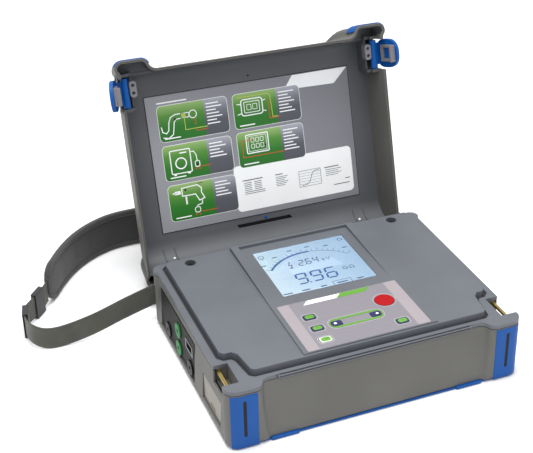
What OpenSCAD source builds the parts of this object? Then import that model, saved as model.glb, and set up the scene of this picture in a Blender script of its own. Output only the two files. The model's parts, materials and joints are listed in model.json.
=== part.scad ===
// Portable insulation resistance tester in a hinged carry case.
// Millimetres, +Z up, feet on z = 0, front of the case towards -Y.
// Lid pieces are written where they sit with the lid closed and are then swung open.

/* [Case] */
// Width over the corner bumpers
case_w = 310; // [300:1:320]
// Depth from the lid's back wall to the front bumpers
case_d = 250; // [244:1:256]
// Height with the lid closed
case_h = 130; // [126:1:136]
// Height of the plane where the lid meets the base
rim_z = 66; // [64:1:68]
// Wall thickness of both shells
wall = 3; // [2.5:0.1:3.5]
// How far the front panel stands back between the corner lobes
front_recess = 12; // [8:1:14]
// How far the sides stand back between the corner lobes
side_recess = 3; // [2:0.5:4]

/* [Lid] */
// Opening angle that the case is drawn at
lid_angle = 105.5; // [90:0.5:108]
// Hinge axis, Y
hinge_y = 113.7; // [113:0.1:114.5]
// Hinge axis, Z
hinge_z = 39.1; // [38.5:0.1:40]
// Gap between the closed lid and the base rim
lid_gap = 0.4; // [0.3:0.1:0.8]
// Height of the lid's inner panel when closed
panel_z = 105.2; // [103:0.2:107]

/* [Latches] */
// Pivot of each latch lever, X
latch_x = 143.5; // [143:0.1:144]
// Pivot of each latch lever, Z
latch_z = 80; // [79:0.5:81]
// Angle that the levers stand out by when released
latch_angle = 20; // [15:1:24]

/* [Front end] */
// Height of the raised deck
deck_z = 71.6; // [70:0.2:73]
// Height of the plate that carries the display and the keypad
face_z = 73; // [72.6:0.1:73.4]
// Width of the display window
lcd_w = 103.4; // [96:0.2:106]
// Depth of the display window
lcd_d = 91; // [84:1:92]
// Key travel
key_travel = 0.8; // [0.4:0.1:0.9]

/* [Strap] */
// Width of the webbing
web_w = 25; // [20:1:27]
// Width of the shoulder pad
pad_w = 46; // [40:1:50]

/* [Hidden] */
$fn = 48;

proud = 0.6;                    // the bumpers stand this far out of the lobes
lobe_x = case_w / 2 - proud;
lobe_y = case_d / 2 - proud;
lid_rear = case_d / 2;
base_rear = 114;
rear_r = 9;                     // rear corners of the base
lid_rear_r = 12;                // rear corners of the lid, at its edge
base_z = 4;                     // underside of the tub
frame_z = rim_z - 4;            // the rim frame sits on the tub's wall here
lobe_r = 9;                     // blends between the front panel and the lobes
side_r = 6;                     // blends between the sides and the lobes
corner_r = 12;
deck_plate = 2.6;
side_x = lobe_x - side_recess;
panel_x = -side_x;
socket_r = 2;                   // safety test socket for a 4 mm plug
socket_depth = 20;
pin_r = 3;
lug_r = 7;                      // hinge lugs on the tub's back wall
arm_x0 = 110.5;                 // hinge arm between its two lugs
arm_x1 = 121.5;
screw_x = 116.7;                // deck screws
screw_y = 96.5;
striker_x = 146.5;              // bars that the latches hook under
striker_z = 59.5;
bay_a = [28, -70];              // battery bay, corner to corner
bay_b = [128, 10];
cover_screw_x = [24, 132];
cover_screw_y = -30;
cell_y = [-56.6, -30, -3.4];
run_gap = 0.06;                 // radial running clearance of the hinge pins
latch_y0 = -105;
latch_y1 = -73;
pocket_x = 137.6;               // inner wall of the latch pockets in the tub
pocket_y0 = -110;
pocket_y1 = -78;
key_specs = [[-42.5, -48.5], [-42.5, -68.7], [-42.5, -89], [38.5, -89]];
cursor_x = [-22, 19.5];
cursor_y = -68.3;
test_pos = [38, -49.5];
board_top = 65.6;               // the switch board under the keys
plunger_z = board_top + key_travel + 0.5;

// ---------- outlines ----------

function arc(c, r, a0, a1, n) =
    [for (i = [0:n]) let (a = a0 + (a1 - a0) * i / n) [c[0] + r * cos(a), c[1] + r * sin(a)]];

function mirrored(p) = concat(p, [for (i = [len(p) - 1:-1:0]) [-p[i][0], p[i][1]]]);

function reversed(p) = [for (i = [len(p) - 1:-1:0]) p[i]];

front_a = acos(1 - front_recess / (2 * lobe_r));
side_a = acos(1 - side_recess / (2 * side_r));
side_run = 2 * side_r * sin(side_a);

// The corner lobe, from the front panel's blend round to the side, moved in by d
function front_lobe(hx, yf, d) = concat(
    arc([hx - 45 + 2 * lobe_r * sin(front_a), -yf + lobe_r], lobe_r - d, 270 - front_a, 270, 6),
    arc([hx - corner_r, -yf + corner_r], corner_r - d, 270, 360, 8));

// Right half of the case outline, from the middle of the front to the middle of the back
function half_plan(hx, yf, yr, rr, d) = concat(
    [[0, -yf + front_recess + d]],
    arc([hx - 45, -yf + front_recess - lobe_r], lobe_r + d, 90, 90 - front_a, 6),
    front_lobe(hx, yf, d),
    arc([hx - side_r, -yf + corner_r], side_r - d, 6, side_a, 3),
    arc([hx - side_recess + side_r, -yf + corner_r + side_run], side_r + d, 180 + side_a, 180, 4),
    arc([hx - side_recess + side_r, yr - rr - side_run], side_r + d, 180, 180 - side_a, 4),
    arc([hx - side_r, yr - rr], side_r - d, -side_a, -6, 3),
    arc([hx - rr, yr - rr], rr - d, 0, 90, 8));

function plan(hx, yf, yr, rr, d) =
    let (h = half_plan(hx, yf, yr, rr, d))
    concat(h, [for (i = [len(h) - 1:-1:1]) [-h[i][0], h[i][1]]]);

function base_plan(d) = plan(lobe_x, lobe_y, base_rear, rear_r, d);

// Right half of the raised deck, grown by e
function deck_half(e) = [[0, -104.5 - e], [120 + 0.4 * e, -104.5 - e], [123 + 0.9 * e, -102 - 0.6 * e],
    [126.5 + e, -76 - 0.6 * e], [131 + 0.5 * e, -70.5 - e], [138 + 0.5 * e, -70.5 - e],
    [141.5 + e, -66 - 0.5 * e], [141.5 + e, 103 + 0.4 * e], [137.5 + 0.4 * e, 107 + e], [0, 107 + e]];

function deck_plan(e) = mirrored([for (p = deck_half(e)) if (p[0] > 0) p]);

// A slab between two heights from a plan outline
module slab(points, z0, z1) {
    translate([0, 0, z0])
        linear_extrude(z1 - z0)
            polygon(points);
}

// A box from its lowest corner to its highest corner
module box(a, b) {
    translate(a)
        cube([b[0] - a[0], b[1] - a[1], b[2] - a[2]]);
}

// Outline of the battery bay, grown by e
function bay(e) = [[bay_a[0] - e, bay_a[1] - e], [bay_b[0] + e, bay_a[1] - e], [bay_b[0] + e, bay_b[1] + e],
    [bay_a[0] - e, bay_b[1] + e]];

module both_sides() {
    children();
    mirror([1, 0, 0])
        children();
}

// A rod along X, from x0 to x1
module rod_x(x0, x1, y, z, r) {
    translate([x0, y, z])
        rotate([0, 90, 0])
            cylinder(r = r, h = x1 - x0);
}

// A rod along Y, from y0 to y1
module rod_y(x, y0, y1, z, r) {
    translate([x, y0, z])
        rotate([-90, 0, 0])
            cylinder(r = r, h = y1 - y0);
}

// A profile of [y, z] points carried along X
module bar_x(profile, x0, x1) {
    translate([x0, 0, 0])
        rotate([90, 0, 90])
            linear_extrude(x1 - x0)
                polygon(profile);
}

// Average of a ring's points
function middle(ring) = [for (p = ring) 1] * ring / len(ring);

// A solid through rings of [x, y, z] points, all with the same count
module loft(rings) {
    n = len(rings[0]);
    m = len(rings);
    last = (m - 1) * n;
    polyhedron(
        points = concat([for (ring = rings) each ring], [middle(rings[0]), middle(rings[m - 1])]),
        faces = concat(
            [for (i = [0:n - 1]) [m * n, i, (i + 1) % n]],
            [for (j = [0:m - 2], i = [0:n - 1]) [j * n + i, (j + 1) * n + i, (j + 1) * n + (i + 1) % n]],
            [for (j = [0:m - 2], i = [0:n - 1]) [j * n + i, (j + 1) * n + (i + 1) % n, j * n + (i + 1) % n]],
            [for (i = [0:n - 1]) [m * n + 1, last + (i + 1) % n, last + i]]),
        convexity = 6);
}

function lifted(points, z) = [for (p = points) [p[0], p[1], z]];

// Rounded rectangle outline centred on c
function pill(c, w, d, r) = concat(
    arc([c[0] + w / 2 - r, c[1] + d / 2 - r], r, 0, 90, 6),
    arc([c[0] - w / 2 + r, c[1] + d / 2 - r], r, 90, 180, 6),
    arc([c[0] - w / 2 + r, c[1] - d / 2 + r], r, 180, 270, 6),
    arc([c[0] + w / 2 - r, c[1] - d / 2 + r], r, 270, 360, 6));

// ---------- base ----------

module base_shell() {
    color("dimgray")
        difference() {
            union() {
                difference() {
                    slab(base_plan(0), base_z, frame_z);
                    slab(base_plan(wall), base_z + wall, frame_z + 1);
                }
                front_slope();
                both_sides() {
                    box([134.5, pocket_y0 - 2, 45.5], [side_x - 1, pocket_y1 + 2, frame_z]);
                    box([98, 101.5, 24], [134, base_rear - 1, frame_z]);
                    rod_x(99, arm_x0 - 0.5, hinge_y, hinge_z, lug_r);
                    rod_x(arm_x1 + 0.5, 126.6, hinge_y, hinge_z, lug_r);
                    screw_post(screw_x, screw_y);
                }
                for (x = cover_screw_x)
                    box([x - 2, bay_a[1] - 2.5, base_z + wall], [x + 2, bay_b[1] + 2.5, 20]);
            }
            both_sides() {
                box([pocket_x, pocket_y0, 48], [170, pocket_y1, frame_z + 1]);
                rod_y(striker_x, pocket_y0 - 1.6, pocket_y1 + 1.6, striker_z, 2.02);
                box([arm_x0 - 0.5, 104.8, 30], [arm_x1 + 0.5, 130, 48.5]);
                rod_x(100, 126, hinge_y, hinge_z, pin_r + 0.02);
                translate([screw_x, screw_y, 30])
                    cylinder(r = 2, h = 40);
                slab(bumper_band(-1, 2), base_z - 1, 60.5);
            }
            rear_bumper_band(-1, 2);
            mirror([1, 0, 0])
                rear_bumper_band(-1, 2);
            box([panel_x - 4, -22, 8], [panel_x + 4, 90, 54]);
            side_door_opening();
            slab(bay(8.3), base_z - 1, base_z + 1.7);
            slab(bay(0), base_z - 1, base_z + wall + 1);
            for (x = cover_screw_x)
                translate([x, cover_screw_y, base_z])
                    cylinder(r = 1.6, h = 14);
        }
}

// The front panel leans out from the recess at the top to the skid at the bottom
module front_slope() {
    top = -lobe_y + front_recess;
    bar_x([[top + 1, 58], [top, 58], [-lobe_y + 2, base_z + 3], [-lobe_y + 2, base_z], [top + 1, base_z]],
        -lobe_x + 34, lobe_x - 34);
}

module screw_post(x, y) {
    translate([x, y, base_z + 1])
        cylinder(r = 6, h = 54);
}

function bumper_band(d0, d1) =
    let (a = front_lobe(lobe_x, lobe_y, d0), b = front_lobe(lobe_x, lobe_y, d1), half_corner = len(a) - 5)
    concat([for (i = [0:half_corner]) if (a[i][0] > 124) a[i]],
        [for (i = [half_corner:-1:0]) if (b[i][0] > 124) b[i]]);

module rear_bumper_band(d0, d1) {
    c = [lobe_x - rear_r, base_rear - rear_r];
    slab(concat(arc(c, rear_r - d0, 0, 90, 10), reversed(arc(c, rear_r - d1, 0, 90, 10))), base_z - 1, 50);
}

module rim_frame() {
    color("slategray")
        difference() {
            union() {
                slab(base_plan(0), frame_z, rim_z);
                box([-101, -lobe_y + 9.2, frame_z + 0.2], [101, -lobe_y + front_recess + 1, rim_z - 0.5]);
            }
            slab(deck_plan(3.5), frame_z - 1, rim_z + 1);
            both_sides()
                box([pocket_x, pocket_y0, frame_z - 1], [170, pocket_y1, rim_z + 1]);
        }
}

module top_deck() {
    color("lightslategray")
        difference() {
            union() {
                slab(deck_plan(0), deck_z - deck_plate, deck_z);
                difference() {
                    slab(deck_plan(0), frame_z + 0.5, deck_z - 1);
                    slab(deck_plan(-2.5), frame_z, deck_z - deck_plate);
                }
                both_sides()
                    translate([screw_x, screw_y, 0]) {
                        translate([0, 0, 59.2])
                            cylinder(r = 4.8, h = 8);
                        translate([0, 0, frame_z + 0.5])
                            cylinder(r = 7, h = 8);
                    }
            }
            box([-62, -97, 55], [62, 102, deck_z + 1]);
            both_sides()
                translate([screw_x, screw_y, 0]) {
                    translate([0, 0, 66])
                        cylinder(r = 4.6, h = 10);
                    cylinder(r = 2.3, h = 80);
                }
        }
}

module rim_gasket() {
    color("black")
        difference() {
            slab(deck_plan(3.4), frame_z + 0.3, frame_z + 2.3);
            slab(deck_plan(0.1), frame_z, frame_z + 3);
        }
}

module deck_screws() {
    color("darkslategray")
        both_sides()
            translate([screw_x, screw_y, 0])
                difference() {
                    union() {
                        translate([0, 0, 66])
                            cylinder(r = 4, h = 2.6);
                        translate([0, 0, 40])
                            cylinder(r = 1.95, h = 27);
                    }
                    translate([0, 0, 67.2])
                        cylinder(r = 1.8, h = 3, $fn = 6);
                }
}

// ---------- display and keypad ----------

module display_bezel() {
    color("slategray")
        difference() {
            union() {
                box([-70.5, -102.5, deck_z], [70.5, 104.5, face_z]);
                difference() {
                    bar_x([[-13, face_z - 0.5], [-13, face_z], [99, 76.5], [102.5, 76.2], [104.5, 74.6],
                        [104.5, face_z - 0.5]], -70.5, 70.5);
                    box([-62.5, -11, face_z - 1], [62.5, 99.5, 80]);
                }
            }
            box([-lcd_w / 2, -4, 60], [lcd_w / 2, lcd_d - 4, 80]);
            for (k = key_specs)
                slab(pill(k, 12.6, 9.1, 2.4), 60, 80);
            for (x = cursor_x)
                slab(pill([x, cursor_y], 11.6, 8.6, 2.4), 60, 80);
            translate([test_pos[0], test_pos[1], 60])
                cylinder(r = 10.3, h = 20);
        }
}

module display_window() {
    color([0.8, 0.88, 0.95, 0.4])
        box([-lcd_w / 2 + 0.1, -3.9, deck_z + 0.1], [lcd_w / 2 - 0.1, lcd_d - 4.1, face_z - 0.2]);
}

module lcd_panel() {
    color("lightblue")
        box([-54, -6, deck_z - 2.6], [54, lcd_d - 2, deck_z]);
}

module lcd_backlight() {
    color("white")
        box([-54, -6, 62.2], [54, lcd_d - 2, deck_z - 2.6]);
}

module keypad_overlay() {
    color("thistle")
        difference() {
            slab(pill([-1, -60.5], 129.6, 82, 2), face_z, face_z + 0.3);
            for (k = key_specs)
                slab(pill(k, 12.6, 9.1, 2.4), 60, 80);
            for (x = cursor_x)
                slab(pill([x, cursor_y], 11.6, 8.6, 2.4), 60, 80);
            translate([test_pos[0], test_pos[1], 60])
                cylinder(r = 10.3, h = 20);
        }
}

module cursor_ring() {
    middle = [(cursor_x[0] + cursor_x[1]) / 2, cursor_y];
    color("yellowgreen")
        difference() {
            slab(pill(middle, 56.4, 15, 7), face_z + 0.3, face_z + 0.6);
            slab(pill(middle, 54.2, 10, 4.6), face_z, face_z + 1);
        }
}

module key_switch_board() {
    color("darkgreen")
        box([-60, -98, board_top - 1.6], [60, -16, board_top]);
}

module display_frame() {
    color("gainsboro")
        difference() {
            box([-70, -100, 66.2], [70, 104, 68.8]);
            box([-55, -7, 60], [55, lcd_d - 1, 70]);
            box([-52, -96, 60], [52, -37, 70]);
        }
}

// A key: cap through the face, flange under it, plunger above its switch
module key(c, outline, flange) {
    slab(outline, deck_z - 1, face_z + 0.8);
    slab(flange, deck_z - 1, deck_z - 0.2);
    translate([c[0], c[1], plunger_z])
        cylinder(r = 2, h = 5);
}

module small_key(i) {
    c = key_specs[i];
    color("yellowgreen")
        key(c, pill(c, 12, 8.5, 2.1), pill(c, 14, 10.5, 2.1));
}

module menu_key() { small_key(0); }

module select_key() { small_key(1); }

module light_key() { small_key(2); }

module memory_key() { small_key(3); }

module cursor_key(i) {
    c = [cursor_x[i], cursor_y];
    color("midnightblue")
        key(c, pill(c, 11, 8, 2.1), pill(c, 13, 10, 2.1));
}

module cursor_left_key() { cursor_key(0); }

module cursor_right_key() { cursor_key(1); }

module test_key() {
    color("red")
        translate([test_pos[0], test_pos[1], 0]) {
            translate([0, 0, deck_z - 1])
                cylinder(r = 10, h = face_z + 1.8 - deck_z);
            translate([0, 0, deck_z - 1])
                cylinder(r = 11.2, h = 0.8);
            translate([0, 0, plunger_z])
                cylinder(r = 2.5, h = 5);
        }
}

// ---------- inside ----------

module main_board() {
    color("seagreen")
        box([-126, -60, 42], [18, 88, 43.6]);
}

module board_components() {
    color("black")
        for (b = [[-100, -40, 22, 22, 3], [-60, -45, 28, 12, 3], [-20, 30, 16, 16, 2.5], [-60, 40, 18, 26, 6],
                [-110, 30, 14, 30, 9], [-30, -20, 10, 20, 4]])
            box([b[0], b[1], 43.6], [b[0] + b[2], b[1] + b[3], 43.6 + b[4]]);
}

module buzzer() {
    color("black")
        translate([-88, 64, 43.6])
            difference() {
                cylinder(r = 8, h = 7);
                translate([0, 0, 5])
                    cylinder(r = 1.5, h = 3);
            }
}

module hv_module() {
    color("navy")
        box([-126, 10, base_z + wall], [-88, 86, 38]);
}

module hv_transformer() {
    color("goldenrod") {
        box([-70, 40, base_z + wall], [-30, 88, 13]);
        box([-66, 44, 13], [-34, 84, 30]);
        box([-70, 40, 30], [-30, 88, 36]);
    }
}

module mains_supply_module() {
    color("silver")
        box([-112, -96, base_z + wall], [-44, -34, 36]);
}

module battery_holder() {
    color("black")
        difference() {
            slab(bay(1.6), base_z + wall, 37.5);
            slab(bay(0), 0, 36);
        }
}

module battery_cells() {
    color("goldenrod")
        for (x = [28.8, 78.6], y = cell_y) {
            rod_x(x, x + 47.5, y, 22, 12.9);
            rod_x(x + 47.5, x + 49, y, 22, 3);
        }
}

module battery_contacts() {
    color("silver")
        for (x = [bay_a[0], bay_b[0] - 0.4], y = cell_y)
            box([x, y - 6, 14], [x + 0.4, y + 6, 30]);
}

module battery_cover() {
    color("dimgray")
        difference() {
            union() {
                slab(bay(8), base_z, base_z + 1.6);
                slab(bay(-0.4), base_z + 1.6, base_z + wall);
            }
            for (x = cover_screw_x)
                translate([x, cover_screw_y, 0]) {
                    cylinder(r = 1.9, h = 10);
                    cylinder(r = 3.3, h = base_z + 0.9);
                }
        }
}

module battery_cover_screws() {
    color("silver")
        for (x = cover_screw_x)
            translate([x, cover_screw_y, base_z])
                difference() {
                    union() {
                        cylinder(r = 3, h = 0.8);
                        cylinder(r = 1.55, h = 12);
                    }
                    translate([0, 0, -1])
                        cylinder(r = 1, h = 1.5, $fn = 6);
                }
}

// ---------- left side ----------

test_spots = [[66, 17], [-7, 17]];
guard_spots = [[30, 38], [30, 17]];

module terminal_panel() {
    color("black")
        difference() {
            box([panel_x - 0.8, -21.7, 8.3], [panel_x + 2.4, 89.7, 53.7]);
            for (s = concat(test_spots, guard_spots))
                rod_x(panel_x - 5, panel_x + 5, s[0], s[1], 6.15);
            box([panel_x - 5, -17, 33.8], [panel_x + 5, 7, 46.2]);
        }
}

// Shrouded safety socket, open towards -X
module safety_socket(s) {
    difference() {
        union() {
            rod_x(panel_x - 2.6, panel_x - 0.8, s[0], s[1], 8.2);
            rod_x(panel_x - 2.6, panel_x + 24, s[0], s[1], 6.1);
        }
        rod_x(panel_x - 3, panel_x - 2.6 + socket_depth, s[0], s[1], socket_r);
    }
}

module test_sockets() {
    color("black")
        for (s = test_spots)
            safety_socket(s);
}

module guard_sockets() {
    color("limegreen")
        for (s = guard_spots)
            safety_socket(s);
}

module comm_port() {
    color("gray")
        difference() {
            box([panel_x - 1.6, -16.8, 34], [panel_x + 10, 6.8, 46]);
            box([panel_x - 2, -13.5, 36.5], [panel_x + 4, 3.5, 43.5]);
        }
}

door_y0 = -99;
door_y1 = -47;
door_pin_x = panel_x + 1.4;
door_pin_z = 36;

module side_door_opening() {
    box([panel_x - 5, door_y0 - 0.4, 9.4], [panel_x + 5, door_y1 + 0.4, door_pin_z + 2.2]);
    rod_y(door_pin_x, door_y0 - 2.6, door_y1 + 2.6, door_pin_z, 0.82);
}

module side_door() {
    color("darkgray")
        difference() {
            union() {
                box([panel_x - 0.4, door_y0, 10], [panel_x + 1.8, door_y1, door_pin_z]);
                rod_y(door_pin_x, door_y0, door_y1, door_pin_z, 1.8);
            }
            rod_y(door_pin_x, door_y0 - 1, door_y1 + 1, door_pin_z, 0.86);
            translate([panel_x - 1, (door_y0 + door_y1) / 2, 14.5])
                rotate([0, 90, 0])
                    linear_extrude(1.6)
                        polygon(pill([0, 0], 6, 14, 2.9));
        }
}

module side_door_pin() {
    color("silver")
        rod_y(door_pin_x, door_y0 - 2.5, door_y1 + 2.5, door_pin_z, 0.8);
}

module mains_inlet() {
    color("black")
        difference() {
            box([panel_x + 3.4, -89, 8], [panel_x + 30, -57, 33]);
            box([panel_x + 3, -86, 11], [panel_x + 18, -60, 30]);
        }
    color("silver")
        for (y = [-79, -73, -67])
            box([panel_x + 6, y - 1, 18.5], [panel_x + 20, y + 1, 22.5]);
}

// ---------- bumpers, skids, strikers ----------

module front_bumper() {
    color("royalblue")
        difference() {
            slab(bumper_band(-proud, 1.9), 1, 60.3);
            box([136.4, -130, 14], [139, -lobe_y + 1, 54]);
        }
}

module bumper_front_right() { front_bumper(); }

module bumper_front_left() {
    mirror([1, 0, 0])
        front_bumper();
}

module rear_bumper() {
    c = [lobe_x - rear_r, base_rear - rear_r];
    color("royalblue")
        slab(concat(arc(c, rear_r + proud, 1, 89, 10), reversed(arc(c, rear_r - 1.9, 1, 89, 10))), 1, 49.7);
}

module bumper_rear_right() { rear_bumper(); }

module bumper_rear_left() {
    mirror([1, 0, 0])
        rear_bumper();
}

// Skid frame under the tub, with four feet that reach out past it
module bottom_skids() {
    color("royalblue") {
        bar_x([[-lobe_y - proud, 1.2], [-lobe_y - proud, 3.4], [-lobe_y, base_z], [-107, base_z], [-107, 1.2]],
            -125, 125);
        difference() {
            box([-146, -120.5, 0], [146, 106, base_z]);
            box([-139, -112, -1], [139, 98, base_z + 1]);
        }
        both_sides()
            for (y = [-lobe_y - proud, 92])
                box([84, y, 0], [112, y + 14, base_z]);
    }
}

module striker_bars() {
    color("darkgoldenrod")
        both_sides()
            rod_y(striker_x, pocket_y0 - 1.5, pocket_y1 + 1.5, striker_z, 2);
}

module hinge_pins() {
    color("silver")
        both_sides()
            rod_x(100.2, 125.8, hinge_y, hinge_z, pin_r);
}

// ---------- strap ----------

anchor_x = 131;
anchor_y = 119;
web_t = 1.6;
pad_t = 9;
low_z = web_w / 2;
slider_h = 15;                  // half height of a slider, which stands on the table

// Middle of the webbing from the left anchor to the pad
left_route = [[-133, 122, 28], [-150, 120, 28], [-186, 112, 24], [-222, 106, 17], [-254, 104, low_z],
    [-272, 106, low_z], [-283.5, 115, slider_h], [-287, 131, slider_h], [-285, 141, slider_h],
    [-283, 151, slider_h], [-273.8, 162.4, slider_h], [-266, 172, slider_h], [-258.2, 181.6, slider_h],
    [-253.5, 187, 17]];

// Middle of the pad, behind the case
pad_route = [[-252, 188, 0], [-242, 202, 0], [-229, 222, 0], [-211, 244, 0], [-188, 263, 0], [-160, 276, 0],
    [-130, 279, 0], [-100, 276, 0], [-68, 274, 0], [-36, 276, 0], [-4, 280, 0], [26, 282, 0]];

// Middle of the webbing from the pad to the right anchor
right_route = [[28, 282, 17], [60, 279, low_z], [96, 268, low_z], [128, 249, low_z], [152, 224, low_z],
    [165, 195, 14], [169, 166, 18], [166, 142, 24], [157, 127, 28], [146, 122, 28], [133, 122, 28]];

function spline_at(p, i, t) =
    let (a = p[max(i - 1, 0)], b = p[i], c = p[i + 1], d = p[min(i + 2, len(p) - 1)])
    0.5 * (2 * b + (c - a) * t + (2 * a - 5 * b + 4 * c - d) * t * t + (3 * b - a - 3 * c + d) * t * t * t);

function smooth(p, steps) =
    concat([for (i = [0:len(p) - 2], s = [0:steps - 1]) spline_at(p, i, s / steps)], [p[len(p) - 1]]);

function side_of(p, i) =
    let (v = p[min(i + 1, len(p) - 1)] - p[max(i - 1, 0)], l = norm([v[0], v[1]]))
    [-v[1] / l, v[0] / l, 0];

// A flat band on edge, w high and t thick, along a route
module band(route, w, t) {
    loft([for (i = [0:len(route) - 1])
        let (c = route[i], s = side_of(route, i) * t / 2)
        [c - s - [0, 0, w / 2], c + s - [0, 0, w / 2], c + s + [0, 0, w / 2], c - s + [0, 0, w / 2]]]);
}

module strap_webbing_left() {
    color("dimgray")
        band(smooth(left_route, 3), web_w, web_t);
}

module strap_webbing_right() {
    color("dimgray")
        band(smooth(right_route, 3), web_w, web_t);
}

module strap_pad() {
    color([0.22, 0.22, 0.22])
        band([for (p = smooth(pad_route, 2)) p + [0, 0, pad_w / 2]], pad_w, pad_t);
}

// A slider that the webbing passes through
module slider(c, angle) {
    translate(c)
        rotate([0, 0, angle])
            difference() {
                box([-9, -3, -slider_h], [9, 3, slider_h]);
                box([-10, -1.5, -web_w / 2 - 0.3], [10, 1.5, web_w / 2 + 0.3]);
            }
}

module strap_sliders() {
    color("black") {
        slider([-285, 141, slider_h], 78);
        slider([-266, 172, slider_h], 51);
    }
}

// Vertical bars in brackets on the case's back wall
module strap_anchors() {
    color("black")
        both_sides() {
            for (z = [11.5, 42.5])
                box([anchor_x - 3.4, base_rear, z], [anchor_x + 3, anchor_y + 2, z + 3]);
            box([anchor_x - 3.4, base_rear, 11.5], [anchor_x + 3, base_rear + 1, 45.5]);
            translate([anchor_x, anchor_y, 12])
                cylinder(r = 1.8, h = 32);
        }
}

// ---------- lid ----------

// Moves a piece of the closed lid to where it is with the lid open
module opened() {
    translate([0, hinge_y, hinge_z])
        rotate([-lid_angle, 0, 0])
            translate([0, -hinge_y, -hinge_z])
                children();
}

lid_z = rim_z + lid_gap;
inner_top = case_h - wall;
skirt_y = lid_rear - wall + 0.4;    // inside of the skirt that hangs behind the hinges
outer_steps = [[lid_z, 0], [76, 1.3], [106, 5], [115, 6.8], [121, 9.4], [125.6, 13], [128.8, 18], [case_h, 24.5]];
inner_steps = [[inner_top, 15.2, 5], [126, 13.6, 4.2], [123, 11, 3.6], [118, 8.1, 3.2], [106, 5, wall],
    [76, 1.3, wall], [lid_z, 0, wall]];

function lid_ring(z, s, d) =
    lifted(plan(lobe_x - s, lobe_y - 1.2 * s, lid_rear - s, lid_rear_r - 0.2 * s, d), z);

// A ring inside a flat end of the lid, with its front lobes all but gone
function lid_end(z, s) =
    let (front = front_recess - lobe_y + 1.2 * s)
    [for (p = lid_ring(z, s, 0)) [p[0], p[1] < front ? front + 0.1 * (p[1] - front) : p[1], z]];

module lid_shell() {
    color("dimgray")
        opened()
            difference() {
                union() {
                    loft(concat(
                        [lid_end(inner_top, 24)],
                        [for (e = inner_steps) lid_ring(e[0], e[1], e[2])],
                        [for (e = outer_steps) lid_ring(e[0], e[1], 0)],
                        [lid_end(case_h, 28)]));
                    box([-124, skirt_y, 50], [124, lid_rear - 0.4, rim_z + 5]);
                }
                both_sides()
                    box([139.5, latch_y0 - 1, 60], [170, latch_y1 + 1, 88.5]);
            }
}

module lid_liner() {
    r = 24;
    c = [84, panel_z - r];
    color("dimgray")
        opened()
            difference() {
                bar_x(concat([[-100, panel_z]], [for (a = [90:-15:0]) [c[0] + r * cos(a), c[1] + r * sin(a)]],
                    [for (a = [0:15:90]) [c[0] + (r + 2) * cos(a), c[1] + (r + 2) * sin(a)]],
                    [[-100, panel_z + 2]]), -141.5, 141.5);
                box([-34, 82.5, panel_z - 5], [34, 88, panel_z + 5]);
            }
}

module lid_label() {
    color("silver")
        opened()
            box([-119.5, -77.2, panel_z - 0.8], [119.5, 74.7, panel_z]);
}

cap_t = 1.5;
cap_gap = 0.08;
// height and draft of the cap's lower and upper edges
cap_low = [74, 1.03];
cap_high = [106, 5];

function cap_point(e, d, i) =
    let (p = front_lobe(lobe_x - e[1], lobe_y - 1.2 * e[1], d)[i])
    [p[0], p[1], e[0]];

// Section of the cap at point i of the lobe
function cap_section(i) =
    [cap_point(cap_low, -cap_t, i), cap_point(cap_low, -cap_gap, i),
        cap_point(cap_high, -cap_gap, i), cap_point(cap_high, -cap_t, i)];

module lid_bumpers() {
    color("royalblue")
        opened()
            both_sides()
                loft([for (i = [3:11]) cap_section(i)]);
}

// Arms from the lid's back wall down to the hinge pins
module hinge_arms() {
    color("dimgray")
        opened()
            both_sides()
                difference() {
                    union() {
                        rod_x(arm_x0, arm_x1, hinge_y, hinge_z, 8);
                        bar_x([[hinge_y - 1, hinge_z], [hinge_y + 7.9, hinge_z], [skirt_y, 52], [skirt_y, rim_z],
                            [skirt_y - 0.8, lid_z], [118.6, 90], [115.5, 90], [115.5, 52], [hinge_y - 1, 45]],
                            arm_x0, arm_x1);
                    }
                    rod_x(100, 132, hinge_y, hinge_z, pin_r + run_gap);
                }
}

// Brackets on the lid that carry the latch levers
module latch_brackets() {
    color("gray")
        opened()
            both_sides() {
                box([136.5, latch_y0 - 5, deck_z + 0.9], [139, latch_y1 + 5, panel_z]);
                for (y = [latch_y0 - 5, latch_y1 + 1])
                    box([139, y, deck_z + 0.9], [145.5, y + 4, 84]);
                rod_y(latch_x, latch_y0 - 4.8, latch_y1 + 4.8, latch_z, 1.5);
            }
}

// Swings a latch out about its own pivot; written for the right side
module released() {
    translate([latch_x, 0, latch_z])
        rotate([0, -latch_angle, 0])
            translate([-latch_x, 0, -latch_z])
                children();
}

lever_mid = [(latch_y0 + latch_y1) / 2, 68];

module latch_lever() {
    color("royalblue")
        opened()
            released()
                difference() {
                    union() {
                        translate([side_x + 0.8, 0, 0])
                            rotate([90, 0, 90])
                                linear_extrude(4)
                                    polygon(pill(lever_mid, latch_y1 - latch_y0, 33, 13));
                        box([latch_x, latch_y0 + 4, latch_z - 2.6], [side_x + 1, latch_y1 - 4, latch_z + 2.6]);
                        rod_y(latch_x, latch_y0 + 0.4, latch_y1 - 0.4, latch_z, 3.8);
                    }
                    rod_y(latch_x, latch_y0 - 1, latch_y1 + 1, latch_z, 1.56);
                }
}

// The hook behind the lever that reaches under the striker bar
module latch_catch() {
    color("gray")
        opened()
            released() {
                box([side_x - 1.9, -99, 54], [side_x + 0.8, -80, 76]);
                box([145, -99, 54], [side_x - 1.9, -80, 56.8]);
            }
}

module latch_lever_right() { latch_lever(); }

module latch_catch_right() { latch_catch(); }

module latch_lever_left() {
    mirror([1, 0, 0])
        latch_lever();
}

module latch_catch_left() {
    mirror([1, 0, 0])
        latch_catch();
}

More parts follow.
